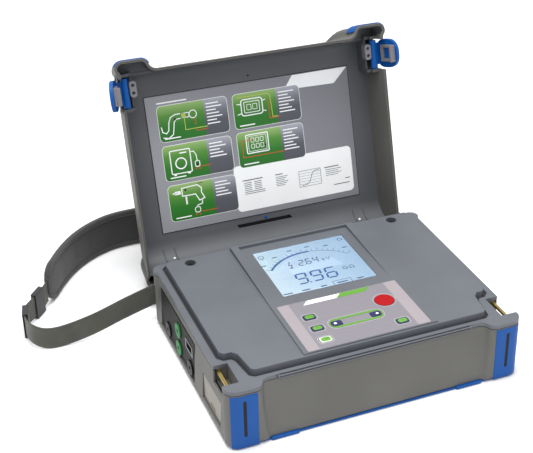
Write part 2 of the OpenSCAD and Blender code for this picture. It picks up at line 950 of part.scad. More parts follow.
base_shell();
rim_frame();
top_deck();
rim_gasket();
display_bezel();
display_window();
lcd_panel();
lcd_backlight();
keypad_overlay();
cursor_ring();
key_switch_board();
display_frame();
main_board();
board_components();
buzzer();
hv_module();
hv_transformer();
mains_supply_module();
battery_holder();
battery_cells();
battery_contacts();
battery_cover();
battery_cover_screws();
terminal_panel();
test_sockets();
guard_sockets();
comm_port();
mains_inlet();
side_door();
side_door_pin();
bumper_front_left();
bumper_front_right();
bumper_rear_left();
bumper_rear_right();
bottom_skids();
deck_screws();
striker_bars();
hinge_pins();
strap_anchors();
strap_webbing_left();
strap_webbing_right();
strap_pad();
strap_sliders();
test_key();
menu_key();
select_key();
light_key();
memory_key();
cursor_left_key();
cursor_right_key();
lid_shell();
lid_liner();
lid_label();
lid_bumpers();
hinge_arms();
latch_brackets();
latch_lever_left();
latch_catch_left();
latch_lever_right();
latch_catch_right();
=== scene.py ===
import json
import math
import bmesh
import bpy
from mathutils import Matrix, Vector


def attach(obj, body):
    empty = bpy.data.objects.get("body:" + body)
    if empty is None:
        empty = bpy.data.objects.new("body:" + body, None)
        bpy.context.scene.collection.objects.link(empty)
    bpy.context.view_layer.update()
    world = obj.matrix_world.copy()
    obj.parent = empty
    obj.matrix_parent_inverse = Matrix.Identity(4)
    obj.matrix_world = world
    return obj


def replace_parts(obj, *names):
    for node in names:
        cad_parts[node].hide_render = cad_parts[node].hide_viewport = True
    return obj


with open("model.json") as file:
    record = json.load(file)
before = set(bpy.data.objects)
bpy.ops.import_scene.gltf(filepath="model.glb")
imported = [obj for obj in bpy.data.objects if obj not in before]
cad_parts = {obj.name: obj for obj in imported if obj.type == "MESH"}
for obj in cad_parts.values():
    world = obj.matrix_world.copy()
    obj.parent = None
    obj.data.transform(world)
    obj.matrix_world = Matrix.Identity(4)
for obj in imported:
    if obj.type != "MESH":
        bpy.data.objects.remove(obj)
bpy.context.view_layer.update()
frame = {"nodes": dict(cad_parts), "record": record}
CAD = frame["nodes"]
MM = 0.001
scene = bpy.context.scene
scene.view_settings.view_transform = "Standard"


def mm(*p):
    return Vector([c * MM for c in p])


# ---------- camera and light ----------

IMAGE_W, FOCAL, SENSOR = 533, 1216.4, 36     # width and focal length in pixels
CAMERA_AT = (-419.6, -956.7, 737.1)
AZ, EL, ROLL = math.radians(-24.28), math.radians(30.17), math.radians(0.63)
back = Vector((math.sin(AZ) * math.cos(EL), -math.cos(AZ) * math.cos(EL), math.sin(EL)))
right = (-back).cross(Vector((0, 0, 1))).normalized()
up = right.cross(-back)
right2 = right * math.cos(ROLL) + up * math.sin(ROLL)
up2 = up * math.cos(ROLL) - right * math.sin(ROLL)
turn = Matrix((right2, up2, back)).transposed().to_4x4()
cam = bpy.data.objects.new("camera", bpy.data.cameras.new("camera"))
cam.matrix_world = Matrix.Translation(mm(*CAMERA_AT)) @ turn
cam.data.sensor_width = SENSOR
cam.data.lens = FOCAL / IMAGE_W * SENSOR
cam.data.shift_x = -0.1394
cam.data.shift_y = 0.0171
cam.data.clip_start = 0.05
scene.collection.objects.link(cam)
scene.camera = cam


def area_light(name, place, target, size, power):
    light = bpy.data.lights.new(name, "AREA")
    light.energy = power
    light.size = size
    obj = bpy.data.objects.new(name, light)
    obj.location = place
    obj.rotation_euler = (Vector(target) - Vector(place)).to_track_quat("-Z", "Y").to_euler()
    scene.collection.objects.link(obj)


area_light("key", (-0.75, -0.95, 1.8), (0, 0, 0.05), 1.3, 15)
area_light("fill", (1.3, -0.9, 1.0), (0, 0, 0.05), 1.4, 7)
area_light("top", (-0.15, 0.1, 2.2), (0, 0.05, 0), 0.9, 40)
area_light("rear", (0.2, 1.9, 1.3), (0, 0.1, 0.1), 1.4, 7)
world = bpy.data.worlds.new("studio")
world.use_nodes = True
world.node_tree.nodes["Background"].inputs[0].default_value = (0.95, 0.97, 1, 1)
world.node_tree.nodes["Background"].inputs[1].default_value = 0.5
scene.world = world

# ---------- materials ----------


def srgb(r, g, b):
    return tuple((c / 255 / 12.92) if c / 255 <= 0.04045 else ((c / 255 + 0.055) / 1.055) ** 2.4
                 for c in (r, g, b)) + (1,)


class Nodes:
    """A material's node tree, with short calls."""

    def __init__(self, name):
        self.mat = bpy.data.materials.new(name)
        self.mat.use_nodes = True
        self.tree = self.mat.node_tree
        self.bsdf = self.tree.nodes["Principled BSDF"]
        self.coord = self.tree.nodes.new("ShaderNodeTexCoord").outputs["Object"]

    def new(self, kind, inputs=None, **props):
        n = self.tree.nodes.new("ShaderNode" + kind)
        for k, v in props.items():
            setattr(n, k, v)
        for k, v in (inputs or {}).items():
            if isinstance(v, bpy.types.NodeSocket):
                self.tree.links.new(v, n.inputs[k])
            else:
                n.inputs[k].default_value = v
        return n

    def noise(self, scale, detail=3, rough=0.55, vector=None):
        return self.new("TexNoise", {"Vector": vector or self.coord, "Scale": scale, "Detail": detail,
                                     "Roughness": rough}).outputs[0]

    def ramp(self, fac, stops):
        n = self.new("ValToRGB", {0: fac})
        e = n.color_ramp.elements
        while len(e) < len(stops):
            e.new(0.5)
        for el, (pos, col) in zip(e, stops):
            el.position = pos
            el.color = col if len(col) == 4 else (*col, 1)
        return n.outputs[0]

    def math(self, op, a, b=0.0, c=0.0):
        return self.new("Math", {0: a, 1: b, 2: c}, operation=op).outputs[0]

    def bump(self, height, strength, distance):
        return self.new("Bump", {"Height": height, "Strength": strength, "Distance": distance}).outputs[0]

    def set(self, name, value):
        s = self.bsdf.inputs[name]
        if isinstance(value, bpy.types.NodeSocket):
            self.tree.links.new(value, s)
        else:
            s.default_value = value


def moulded(name, colour, rough=0.55, grain=900, depth=0.00008, vary=0.06, strength=0.5, gloss=0.5):
    """Moulded plastic: a fine spark-eroded texture, with faint unevenness in colour and gloss."""
    n = Nodes(name)
    dark = tuple(c * (1 - vary) for c in colour[:3]) + (1,)
    light = tuple(min(1, c * (1 + vary)) for c in colour[:3]) + (1,)
    n.set("Base Color", n.ramp(n.noise(14, 4), [(0.35, dark), (0.65, light)]))
    n.set("Roughness", n.math("MULTIPLY_ADD", n.noise(45, 3), 0.12, rough - 0.06))
    n.set("Specular IOR Level", gloss)
    n.set("Normal", n.bump(n.noise(grain, 2, 0.6), strength, depth))
    return n.mat


def metal(name, colour, rough=0.3):
    """Metal with fine lines drawn along one way."""
    n = Nodes(name)
    vec = n.new("Mapping", {"Vector": n.coord, "Scale": (1, 1, 60)}).outputs[0]
    grain = n.noise(60, 3, 0.6, vec)
    n.set("Metallic", 1.0)
    n.set("Base Color", n.ramp(grain, [(0.3, tuple(c * 0.85 for c in colour[:3])), (0.7, colour)]))
    n.set("Roughness", n.math("MULTIPLY_ADD", grain, 0.2, rough - 0.1))
    n.set("Normal", n.bump(grain, 0.2, 0.00005))
    return n.mat


# slot: red, green, blue, and where it isn't the usual one the roughness, then the gloss
PLASTICS = {
    "seal": (40, 40, 42, 0.7), "window": (190, 210, 225, 0.1), "lcd": (205, 222, 236, 0.3),
    "light_guide": (235, 238, 240, 0.4), "overlay": (168, 162, 168, 0.5),
    "key_green": (98, 158, 50, 0.45), "key_navy": (34, 40, 88, 0.4),
    "key_red": (166, 0, 8, 0.45, 0.25), "frame_light": (200, 200, 200),
    "circuit_board": (20, 90, 50, 0.4), "chips": (24, 24, 26, 0.5), "potting": (30, 40, 90, 0.5),
    "holder": (34, 34, 36, 0.5), "panel_black": (30, 30, 29, 0.6, 0.2),
    "socket_black": (10, 10, 11, 0.45, 0.25), "socket_green": (12, 112, 48, 0.45, 0.3),
    "door": (140, 135, 126, 0.5), "latch_grey": (112, 110, 114, 0.5), "label": (172, 172, 180, 0.4),
    "webbing": (76, 76, 68, 0.9), "pad": (60, 60, 60, 0.9),
}
# slot: red, green, blue, roughness
METALS = {
    "winding": (180, 110, 50, 0.4), "shield": (200, 202, 205, 0.4), "cell": (180, 140, 60, 0.35),
    "contact": (200, 200, 200, 0.3), "steel": (196, 196, 200, 0.28),
    "dark_steel": (60, 60, 64, 0.4), "brass": (190, 165, 95, 0.3), "port": (110, 110, 112, 0.4),
}


def plastic(slot, r, g, b, rough=0.55, gloss=0.5):
    return moulded(slot, srgb(r, g, b), rough, gloss=gloss)


M = {slot: plastic(slot, *row) for slot, row in PLASTICS.items()}
M.update({slot: metal(slot, srgb(r, g, b), rough) for slot, (r, g, b, rough) in METALS.items()})
M["shell"] = moulded("case_grey", srgb(94, 93, 89))
M["shell_inner"] = moulded("lid_grey", srgb(84, 86, 89))
M["deck"] = moulded("deck_grey", srgb(97, 100, 106))
M["bumper"] = moulded("bumper_blue", srgb(0, 76, 150), 0.5, 1500, 0.00004, gloss=0.28)
SLOT = {s["node"]: s["material_slot"] for s in frame["record"]["subparts"]}
BODY = {n: b for b, ns in frame["record"]["behaviour"]["bodies"].items() for n in ns}


def paint(obj, *mats):
    obj.data.materials.clear()
    for m in mats:
        obj.data.materials.append(m)
    return obj


for name, obj in CAD.items():
    paint(obj, M[SLOT[name]])


# ---------- mesh helpers: lengths in millimetres ----------

HY, HZ, LID = 113.7, 39.1, math.radians(105.5)     # the lid's hinge, and its angle at rest
TURN_C, TURN_S = math.cos(LID), math.sin(LID)


def opened(p):
    """Where a point of the closed lid is with the lid open."""
    y, z = p[1] - HY, p[2] - HZ
    return (p[0], HY + y * TURN_C + z * TURN_S, HZ - y * TURN_S + z * TURN_C)


def raw_mesh(name, verts, faces, place=None):
    mesh = bpy.data.meshes.new(name)
    mesh.from_pydata([Vector(place(v) if place else v) * MM for v in verts], [], faces)
    obj = bpy.data.objects.new(name, mesh)
    scene.collection.objects.link(obj)
    bm = bmesh.new()
    bm.from_mesh(mesh)
    bmesh.ops.recalc_face_normals(bm, faces=bm.faces)
    bm.to_mesh(mesh)
    bm.free()
    return obj


def build(name, verts, faces, mats, body, slot, place=None, smooth=False, face_mats=None, replace=()):
    """A new piece from points in millimetres, riding on its body."""
    obj = raw_mesh(name, verts, faces, place)
    mesh = obj.data
    for m in mats if isinstance(mats, (list, tuple)) else [mats]:
        mesh.materials.append(m)
    if face_mats:
        mesh.polygons.foreach_set("material_index", face_mats)
    mesh.polygons.foreach_set("use_smooth", [smooth] * len(mesh.polygons))
    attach(obj, body)
    if replace:
        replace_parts(obj, *replace)
    return obj


def bevel(obj, width, segments=3, angle=28):
    obj.data.polygons.foreach_set("use_smooth", [True] * len(obj.data.polygons))
    m = obj.modifiers.new("edge", "BEVEL")
    m.width = width * MM
    m.segments = segments
    m.limit_method = "ANGLE"
    m.angle_limit = math.radians(angle)
    m.harden_normals = True
    m.use_clamp_overlap = True
    m.miter_outer = "MITER_ARC"
    return obj


def soften(node, width, segments=3, angle=28, mat=None):
    """A CAD node's own shape with its edges rounded as a moulding's are."""
    mesh = CAD[node].data.copy()
    obj = bpy.data.objects.new(node + "_visual", mesh)
    scene.collection.objects.link(obj)
    bm = bmesh.new()
    bm.from_mesh(mesh)
    bmesh.ops.remove_doubles(bm, verts=bm.verts, dist=1e-6)
    bmesh.ops.dissolve_limit(bm, angle_limit=math.radians(0.6), verts=bm.verts, edges=bm.edges)
    bm.to_mesh(mesh)
    bm.free()
    for a in list(mesh.attributes):
        if a.name.startswith("custom_normal"):
            mesh.attributes.remove(a)
    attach(obj, BODY[node])
    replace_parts(obj, node)
    if mat:
        paint(obj, mat)
    return bevel(obj, width, segments, angle)


def cut(obj, name, verts, faces, place=None):
    """Cuts a closed mesh out of a piece."""
    tool = raw_mesh(name, verts, faces, place)
    m = obj.modifiers.new(name, "BOOLEAN")
    m.operation = "DIFFERENCE"
    m.solver = "EXACT"
    m.object = tool
    settle(obj)
    bpy.data.objects.remove(tool)


def settle(obj):
    """Makes a piece's modifiers part of its mesh."""
    bpy.context.view_layer.update()
    dg = bpy.context.evaluated_depsgraph_get()
    mesh = bpy.data.meshes.new_from_object(obj.evaluated_get(dg), depsgraph=dg)
    obj.modifiers.clear()
    obj.data = mesh


def box_mesh(a, b):
    v = [(x, y, z) for z in (a[2], b[2]) for y in (a[1], b[1]) for x in (a[0], b[0])]
    return v, [(0, 2, 3, 1), (4, 5, 7, 6), (0, 1, 5, 4), (2, 6, 7, 3), (0, 4, 6, 2), (1, 3, 7, 5)]


def sided(s, a, b):
    """A box given for the right side, on the right (s = 1) or the left (s = -1)."""
    return box_mesh((min(s * a[0], s * b[0]), a[1], a[2]), (max(s * a[0], s * b[0]), b[1], b[2]))


def arc(cx, cy, r, a0, a1, n):
    return [(cx + r * math.cos(math.radians(a0 + (a1 - a0) * i / n)),
             cy + r * math.sin(math.radians(a0 + (a1 - a0) * i / n))) for i in range(n + 1)]


def pill(cx, cy, w, d, r, n=6):
    ends = ((cx + w / 2 - r, cy + d / 2 - r), (cx - w / 2 + r, cy + d / 2 - r),
            (cx - w / 2 + r, cy - d / 2 + r), (cx + w / 2 - r, cy - d / 2 + r))
    return [p for k, (x, y) in enumerate(ends) for p in arc(x, y, r, 90 * k, 90 * (k + 1), n)]


def prism(points, z0, z1):
    n = len(points)
    v = [(x, y, z) for z in (z0, z1) for x, y in points]
    f = [tuple(range(n))[::-1], tuple(range(n, 2 * n))]
    return v, f + [(i, (i + 1) % n, n + (i + 1) % n, n + i) for i in range(n)]


def lofted(rings, closed=False):
    """Verts and faces through rings with the same count of points; closed joins the last to the first."""
    n, m = len(rings[0]), len(rings)
    v = [p for ring in rings for p in ring]
    last = m if closed else m - 1
    f = [(j * n + i, j * n + (i + 1) % n, (j + 1) % m * n + (i + 1) % n, (j + 1) % m * n + i)
         for j in range(last) for i in range(n)]
    if not closed:
        f += [tuple(range(n))[::-1], tuple(range((m - 1) * n, m * n))]
    return v, f


def domed(points, z0, z1, r, steps=4):
    """A prism whose top edge is rounded."""
    rings = [[(x, y, z0) for x, y in points]]
    for i in range(steps + 1):
        t = math.radians(90 * i / steps)
        rings.append([(x, y, z1 - r + r * math.sin(t)) for x, y in inset(points, r * (1 - math.cos(t)))])
    return lofted(rings)


def inset(points, d):
    """An outline, drawn anticlockwise, moved inwards by d."""
    out = []
    n = len(points)
    for i in range(n):
        a, b, c = Vector(points[i - 1]), Vector(points[i]), Vector(points[(i + 1) % n])
        u, w = (b - a), (c - b)
        if u.length < 1e-6:
            u = w
        if w.length < 1e-6:
            w = u
        u.normalize()
        w.normalize()
        m = Vector((-u.y - w.y, u.x + w.x))
        m = m / max(m.length_squared / 2, 0.35)
        out.append((b.x + m.x * d, b.y + m.y * d))
    return out


def many(parts):
    """Several verts-and-faces pairs as one."""
    v, f = [], []
    for pv, pf in parts:
        f += [tuple(i + len(v) for i in face) for face in pf]
        v += pv
    return v, f


def stroke(points, width, closed=False):
    """The outline strip of a drawn line, as quads' corner points."""
    pts = [Vector(p) for p in points]
    n = len(pts)
    quads = []
    normals = []
    for i in range(n):
        a = pts[i - 1] if i or closed else pts[0]
        b = pts[(i + 1) % n] if i < n - 1 or closed else pts[-1]
        u = (pts[i] - a) if (pts[i] - a).length > 1e-6 else (b - pts[i])
        w = (b - pts[i]) if (b - pts[i]).length > 1e-6 else u
        u, w = u.normalized(), w.normalized()
        m = Vector((-u.y - w.y, u.x + w.x))
        normals.append(m / max(m.length_squared / 2, 0.5) * width / 2)
    for i in range(n if closed else n - 1):
        j = (i + 1) % n
        quads.append([tuple(pts[i] - normals[i]), tuple(pts[j] - normals[j]), tuple(pts[j] + normals[j]),
                      tuple(pts[i] + normals[i])])
    return quads


# ---------- case outline ----------

LOBE_X, LOBE_Y, REAR, LID_REAR = 154.4, 124.4, 114.0, 125.0
LOBE_R, SIDE_R, CORNER_R, LID_CORNER_R = 9.0, 6.0, 12.0, 8.5
RECESS, FOOT_RECESS = 12.0, 2.6     # how far the front stands back between its lobes, above and at the foot
REAR_R, LID_REAR_R = 9.0, 12.0
BAY = (28, -70, 128, 10)     # battery bay: lowest and highest x and y


def outline(hx, yf, yr, rr, d=0.0, recess=RECESS, side=3.0, n=8, corner=CORNER_R):
    """The case's plan, anticlockwise from the middle of the front: lobes at the corners, recesses between."""
    fa = math.degrees(math.acos(1 - recess / (2 * LOBE_R)))
    sa = math.degrees(math.acos(1 - side / (2 * SIDE_R)))
    run = 2 * LOBE_R * math.sin(math.radians(fa))
    side_run = 2 * SIDE_R * math.sin(math.radians(sa))
    h = [(x, -yf + recess + d) for x in (0, 25, 50, 75)]
    h += arc(hx - 45, -yf + recess - LOBE_R, LOBE_R + d, 90, 90 - fa, n)
    h += arc(hx - 45 + run, -yf + LOBE_R, LOBE_R - d, 270 - fa, 270, n)
    h += arc(hx - corner, -yf + corner, corner - d, 270, 360, n + 2)
    h += arc(hx - SIDE_R, -yf + corner, SIDE_R - d, 3, sa, 4)
    h += arc(hx - side + SIDE_R, -yf + corner + side_run, SIDE_R + d, 180 + sa, 180, 4)
    h += arc(hx - side + SIDE_R, yr - rr - side_run, SIDE_R + d, 180, 180 - sa, 4)
    h += arc(hx - SIDE_R, yr - rr, SIDE_R - d, -sa, -3, 4)
    h += arc(hx - rr, yr - rr, rr - d, 0, 90, n + 2)
    h += [(x, yr - d) for x in (90, 45)]
    return h + [(0, yr - d)] + [(-x, y) for x, y in h[:0:-1]]


def at(points, z):
    return [(x, y, z) for x, y in points]


def rounded(t, r):
    """How far a rounded edge of radius r has come in, and how far up, at t from 0 to 1."""
    return r * (1 - math.cos(t * math.pi / 2)), r * math.sin(t * math.pi / 2)


# ---------- tub ----------

tub = []
for t in (1, 0.66, 0.33, 0):
    d, up_ = rounded(t, 3.0)
    tub.append(at(outline(LOBE_X, LOBE_Y, REAR, REAR_R, d, FOOT_RECESS, 0.3), 4.6 - up_))
for z in (16, 28, 40, 52, 58, 60.5):
    recess = FOOT_RECESS + (RECESS - FOOT_RECESS) * min(1, (z - 7) / 49) ** 0.9
    lean = 0.3 + 2.7 * min(1, (z - 4.6) / 49)
    tub.append(at(outline(LOBE_X, LOBE_Y, REAR, REAR_R, 0, recess, lean), z))
for d, z in ((0.5, 61.4), (1.0, 61.9), (3.0, 61.9), (3.0, 12)):
    tub.append(at(outline(LOBE_X, LOBE_Y, REAR, REAR_R, d), z))
tub.append(at(outline(LOBE_X, LOBE_Y, REAR, REAR_R, 6), 7))
shell = build("tub", *lofted(tub), M["shell"], "case", "shell", replace=["base_shell"])
cuts = [box_mesh((-160, -22, 8), (-140, 90, 54)), box_mesh((-160, -99.4, 9.4), (-140, -46.6, 38.2))]
cuts += [box_mesh((BAY[0] - 8.2, BAY[1] - 8.2, -1), (BAY[2] + 8.2, BAY[3] + 8.2, 5.7))]
cuts += [sided(s, (137.6, -110, 48), (170, -78, 70)) for s in (-1, 1)]
for k, (cv, cf) in enumerate(cuts):
    cut(shell, "tub_cut%d" % k, cv, cf)
bevel(shell, 0.7, 2, 35)
inner = []
for s in (-1, 1):
    inner += [sided(s, a, b) for a, b in
              (((134.5, -112, 45.5), (137.6, -76, 61.9)), ((137.6, -112, 45.5), (150, -110, 61.9)),
               ((137.6, -78, 45.5), (150, -76, 61.9)), ((137.6, -112, 45.5), (150.4, -76, 48)),
               ((98, 101.5, 24), (110, 112.9, 61.9)), ((122, 101.5, 24), (134, 112.9, 61.9)))]
bevel(build("tub_inner", *many(inner), M["shell"], "case", "shell"), 0.4, 2)
lugs = []
for s in (-1, 1):
    for a, b in ((99.5, 109.9), (122.1, 126.6)):
        ring = arc(HY, HZ, 7, 0, 352.5, 47)
        bore = arc(HY, HZ, 3.05, 0, 352.5, 47)
        rings = [[(s * x, y, z) for y, z in c] for x, c in ((a, bore), (a, ring), (b, ring), (b, bore))]
        lugs.append(lofted(rings, closed=True))
bevel(build("hinge_lugs", *many(lugs), M["shell"], "case", "shell"), 0.5, 2)

# ---------- rim ----------

soften("rim_frame", 1.1, 3, 30)
# a dark ring in the gap under the rim, in the seal colour: painted shade in the gap
seam_steps = ((0.3, 60.8), (0.3, 62.05), (3, 62.05), (3, 60.8))
seam = [at(outline(LOBE_X, LOBE_Y, REAR, REAR_R, d), z) for d, z in seam_steps]
rim_gap_shade = build("rim_gap_shade", *lofted(seam, closed=True), M["seal"], "case", "seal")
for k, (cv, cf) in enumerate(cuts[3:]):
    cut(rim_gap_shade, "seam_cut%d" % k, cv, cf)
bar = box_mesh((-101, -115.2, 62.2), (101, -110, 65.5))
bevel(build("rim_lip", *bar, M["deck"], "case", "deck"), 1.0, 3)

# ---------- deck ----------

soften("top_deck", 1.5, 4, 30)
soften("rim_gasket", 0.3, 2)
soften("display_bezel", 0.9, 3, 25)
for node, w in (("bumper_front_left", 0.7), ("bumper_front_right", 0.7), ("terminal_panel", 0.5),
                ("test_sockets", 0.6), ("guard_sockets", 0.6), ("comm_port", 0.4), ("mains_inlet", 0.4),
                ("side_door", 0.4), ("striker_bars", 0.3), ("deck_screws", 0.3), ("hinge_arms", 0.5),
                ("latch_lever_left", 0.9), ("latch_lever_right", 0.9), ("strap_anchors", 0.4),
                ("strap_sliders", 0.6), ("battery_cover", 0.4)):
    soften(node, w)

# countersink round each deck screw, coloured dark: painted shade in the recess
dishes = []
for s in (-1, 1):
    rings = []
    for r, z in ((4.4, 71.2), (4.4, 71.64), (5.0, 71.74), (5.9, 71.68), (6.1, 71.2)):
        rings.append([(s * 116.7 + r * math.cos(a), 96.5 + r * math.sin(a), z)
                      for a in (2 * math.pi * k / 40 for k in range(40))])
    dishes.append(lofted(rings, closed=True))
build("screw_dish_shade", *many(dishes), M["seal"], "case", "seal", smooth=True)

# ---------- skids ----------

FOOT_Y = -LOBE_Y + 0.4
skids = [box_mesh((-125, -122.3, 0.2), (125, -107, 2.2)), box_mesh((-146, -120.5, 0), (-139, 106, 1.7)),
         box_mesh((139, -120.5, 0), (146, 106, 1.7)), box_mesh((-145.8, 98, 0.15), (145.8, 105.8, 1.55))]
skids += [box_mesh((s * 98 - 14, y, 0), (s * 98 + 14, y + 14, 3.4)) for s in (-1, 1) for y in (FOOT_Y, 92)]
bevel(build("skids", *many(skids), M["bumper"], "case", "bumper", replace=["bottom_skids"]), 0.7, 3)

# ---------- corner guards ----------

inlays = []
for s, side in ((-1, "left"), (1, "right")):
    inlays.append(sided(s, (136, -124.9, 13.6), (139.4, -122, 54.4)))
    corner = (LOBE_X - REAR_R, REAR - REAR_R)
    band = arc(*corner, REAR_R + 0.6, 32, 89, 8) + arc(*corner, REAR_R - 1.9, 32, 89, 8)[::-1]
    guard = prism([(s * x, y) for x, y in band], 1.2, 49.7)
    bevel(build("guard_rear_" + side, *guard, M["bumper"], "case", "bumper",
                replace=["bumper_rear_" + side]), 0.5, 2)
bevel(build("guard_inlays", *many(inlays), M["panel_black"], "case", "bumper"), 0.2, 2)

# ---------- printed graphics ----------

LABEL_Z, GLASS_Z, OVERLAY_Z, CAP_Z, CURSOR_Z = 104.4, 71.6, 73.3, 74.2, 73.8


def flat(h0):
    """Places drawn points on a level plane."""
    return lambda p: (p[0], p[1], h0 + p[2])


def on_label(p):
    """Where a point drawn on the lid's card is."""
    return opened((p[0], p[1], LABEL_Z - p[2]))


def printed(name, polys, mat, body, slot, place, h=0.05, t=0.06):
    """Flat printed shapes: each is a thin plate h above the plane, with a UV map over its own box."""
    obj = build(name, *many([prism(p, h, h + t) for p in polys]), mat, body, slot, place)
    uv = []
    for p in polys:
        xs, ys = [q[0] for q in p], [q[1] for q in p]
        uv += [((x - min(xs)) / (max(xs) - min(xs)), (y - min(ys)) / (max(ys) - min(ys))) for x, y in p] * 2
    layer = obj.data.uv_layers.new(name="map").data
    for loop in obj.data.loops:
        layer[loop.index].uv = uv[loop.vertex_index]
    return obj


def on_card(name, polys, mat, h=0.05, t=0.06):
    printed(name, polys, mat, "lid", "label", on_label, h, t)


def on_glass(name, polys, mat, h=0.04):
    printed(name, polys, mat, "case", "lcd", flat(GLASS_Z), h, 0.03)


def on_overlay(name, polys, mat, h=0.05, t=0.06):
    printed(name, polys, mat, "case", "overlay", flat(OVERLAY_Z), h, t)


def graded(name, stops):
    """Print that shades from one colour to the next down its own UV map."""
    n = Nodes(name)
    uv = n.new("UVMap").outputs[0]
    part = n.new("SeparateXYZ", {0: uv}).outputs[1]
    n.set("Base Color", n.ramp(part, [(s, srgb(*c)) for s, c in stops]))
    n.set("Roughness", 0.4)
    n.set("Normal", n.bump(n.noise(900, 2), 0.2, 0.00003))
    return n.mat


def hexagons(n, plane, direction):
    """A fine hexagonal pattern: three sets of waves across a plane, 60 degrees apart."""
    mapped = n.new("Mapping", {"Vector": n.coord, "Scale": plane}).outputs[0]
    waves = None
    for k in range(3):
        a = math.radians(60 * k + 15)
        d = n.new("VectorMath", {0: mapped, 1: direction(math.cos(a), math.sin(a))}, operation="DOT_PRODUCT")
        wave = n.math("COSINE", d.outputs["Value"])
        waves = wave if waves is None else n.math("ADD", waves, wave)
    return waves


def ink(name, *rgb, rough=0.45):
    return moulded(name, srgb(*rgb), rough, 700, 0.00002, 0.03, 0.2)


white_ink = ink("white_ink", 250, 251, 252)
grey_ink = ink("grey_ink", 120, 122, 128)
red_ink = ink("red_ink", 205, 70, 40)
black_ink = ink("black_ink", 25, 25, 28)
yellow_ink = ink("yellow_ink", 190, 200, 90)
card_green = graded("card_green", [(0.0, (150, 184, 112)), (0.3, (80, 142, 52)), (0.62, (38, 118, 32)),
                                   (1.0, (32, 110, 28))])
card_grey = graded("card_grey", [(0.0, (170, 172, 182)), (0.3, (122, 124, 134)), (0.6, (86, 88, 96)),
                                 (1.0, (80, 83, 90))])


def loop_of(points, width):
    return stroke(points, width, closed=True)


def circle(cx, cy, r, n=28):
    return arc(cx, cy, r, 0, 360 - 360 / n, n - 1)


CARDS = [(-107.5, -65.5, -28, -26, -55), (-107.5, -21, -28.5, 18, -57), (-107.5, 23.5, -29, 64, -56),
         (-21, -65, 58, -26, 30), (-21.5, -21.5, 58, 18, 31)]


def corners(x0, y0, x1, y1, r, left=True, right=True):
    """A rectangle with rounded corners at either end."""
    pts = []
    pts += arc(x1 - r, y1 - r, r, 0, 90, 5) if right else [(x1, y1)]
    pts += arc(x0 + r, y1 - r, r, 90, 180, 5) if left else [(x0, y1)]
    pts += arc(x0 + r, y0 + r, r, 180, 270, 5) if left else [(x0, y0)]
    return pts + (arc(x1 - r, y0 + r, r, 270, 360, 5) if right else [(x1, y0)])


outlines = [corners(x0 - 0.5, y0 - 0.5, x1 + 0.5, y1 + 0.5, 5) for x0, y0, x1, y1, s in CARDS]
on_card("card_edges", outlines, white_ink, 0.02, 0.05)
white_block = corners(-30, 15, 114, 68, 5)
on_card("label_white_block", [white_block, [(51.8, -76.5), (118.8, -76.5), (101.5, -60), (40.4, -61.5)]],
        white_ink, 0.0, 0.04)
on_card("card_green_part", [corners(x0, y0, s, y1, 4.5, right=False) for x0, y0, x1, y1, s in CARDS],
        card_green, 0.08)
on_card("card_grey_part", [corners(s, y0, x1, y1, 4.5, left=False) for x0, y0, x1, y1, s in CARDS],
        card_grey, 0.08)

white, red, yellow, dark, grey = [], [], [], [], []
# hose with a coupling
pipe = [(-105, -43), (-104, -37), (-100, -35), (-97, -38), (-96, -46), (-93.5, -52), (-88, -54.5),
        (-82, -54.5)]
pipe2 = [(-104, -31), (-98, -29.5), (-92.5, -33), (-91, -40), (-90, -46), (-87.5, -49), (-82, -49.5)]
white += stroke(pipe, 1.1) + stroke(pipe2, 1.1)
white += loop_of(pill(-76.5, -52, 8, 5, 1.2), 0.9) + loop_of(circle(-68, -52, 4.2), 1.0)
yellow += stroke([(-78, -49), (-78, -36), (-52.5, -36)], 0.8) + [pill(-78.5, -52, 4.5, 5.5, 1)]
red += stroke([(-66, -48), (-66, -40)], 0.9) + stroke([(-66, -33.5), (-52.5, -33.5)], 0.8)
# household appliance
white += loop_of(pill(-88.5, -2, 23, 26, 1.5), 1.2) + loop_of(circle(-88.5, 0, 6), 1.4)
white += stroke([(-77, -11), (-73, -11), (-70.5, -7), (-70, 0)], 1.0)
white += loop_of(pill(-70, 3.5, 5, 6.5, 1.5), 0.9)
white += [pill(-96.5, 12.2, 3, 1.6, 0.5), pill(-80.5, 12.2, 3, 1.6, 0.5), pill(-85, -11.5, 8, 1.4, 0.5)]
red += [[(-73, 8), (-70.6, 8), (-71.8, 10.5)], [(-69.2, 8), (-66.8, 8), (-68, 10.5)]]
red += stroke([(-67, 7), (-54, 7)], 0.8)
# power drill
white += loop_of([(-92, 28), (-74, 27), (-69.5, 31), (-70, 36), (-67, 43), (-73, 45), (-77, 37), (-92, 37)],
                 1.2)
white += [pill(-97, 32.5, 7, 4, 1)]
white += stroke([(-103, 32.5), (-97, 32.5)], 1.4)
white += stroke([(-88, 38), (-88, 47)], 1.8)
white += stroke([(-70, 45), (-70.5, 49), (-76, 50), (-76.5, 52)], 1.0)
white += loop_of(pill(-76.5, 55, 6, 6, 2), 0.9)
red += [[(-80, 59.5), (-77.6, 59.5), (-78.8, 62)], [(-75.6, 59.5), (-73.2, 59.5), (-74.4, 62)]]
red += stroke([(-72, 58), (-53, 58)], 0.8)
dark += [circle(-88, 30.5, 1.4, 12)] + stroke([(-74, 25.5), (-67, 25.5)], 0.6)
# transformer
white += loop_of(pill(0.5, -49, 25, 18, 3), 1.2) + loop_of(pill(0.5, -49, 18, 12, 1), 0.8)
white += loop_of(pill(-3, -49, 5, 6, 0.6), 0.6) + loop_of(pill(4, -49, 5, 6, 0.6), 0.6)
white += stroke([(-17, -54), (-12, -53)], 1.0) + stroke([(-17, -42), (-12, -43)], 1.0)
white += stroke([(13, -54), (17, -55)], 1.0) + stroke([(13, -43), (17, -42)], 1.0)
yellow += stroke([(-16, -61), (21, -61), (23, -58), (24, -34), (30, -34)], 0.8)
red += stroke([(20.5, -55), (20.5, -33), (33, -33)], 0.8)
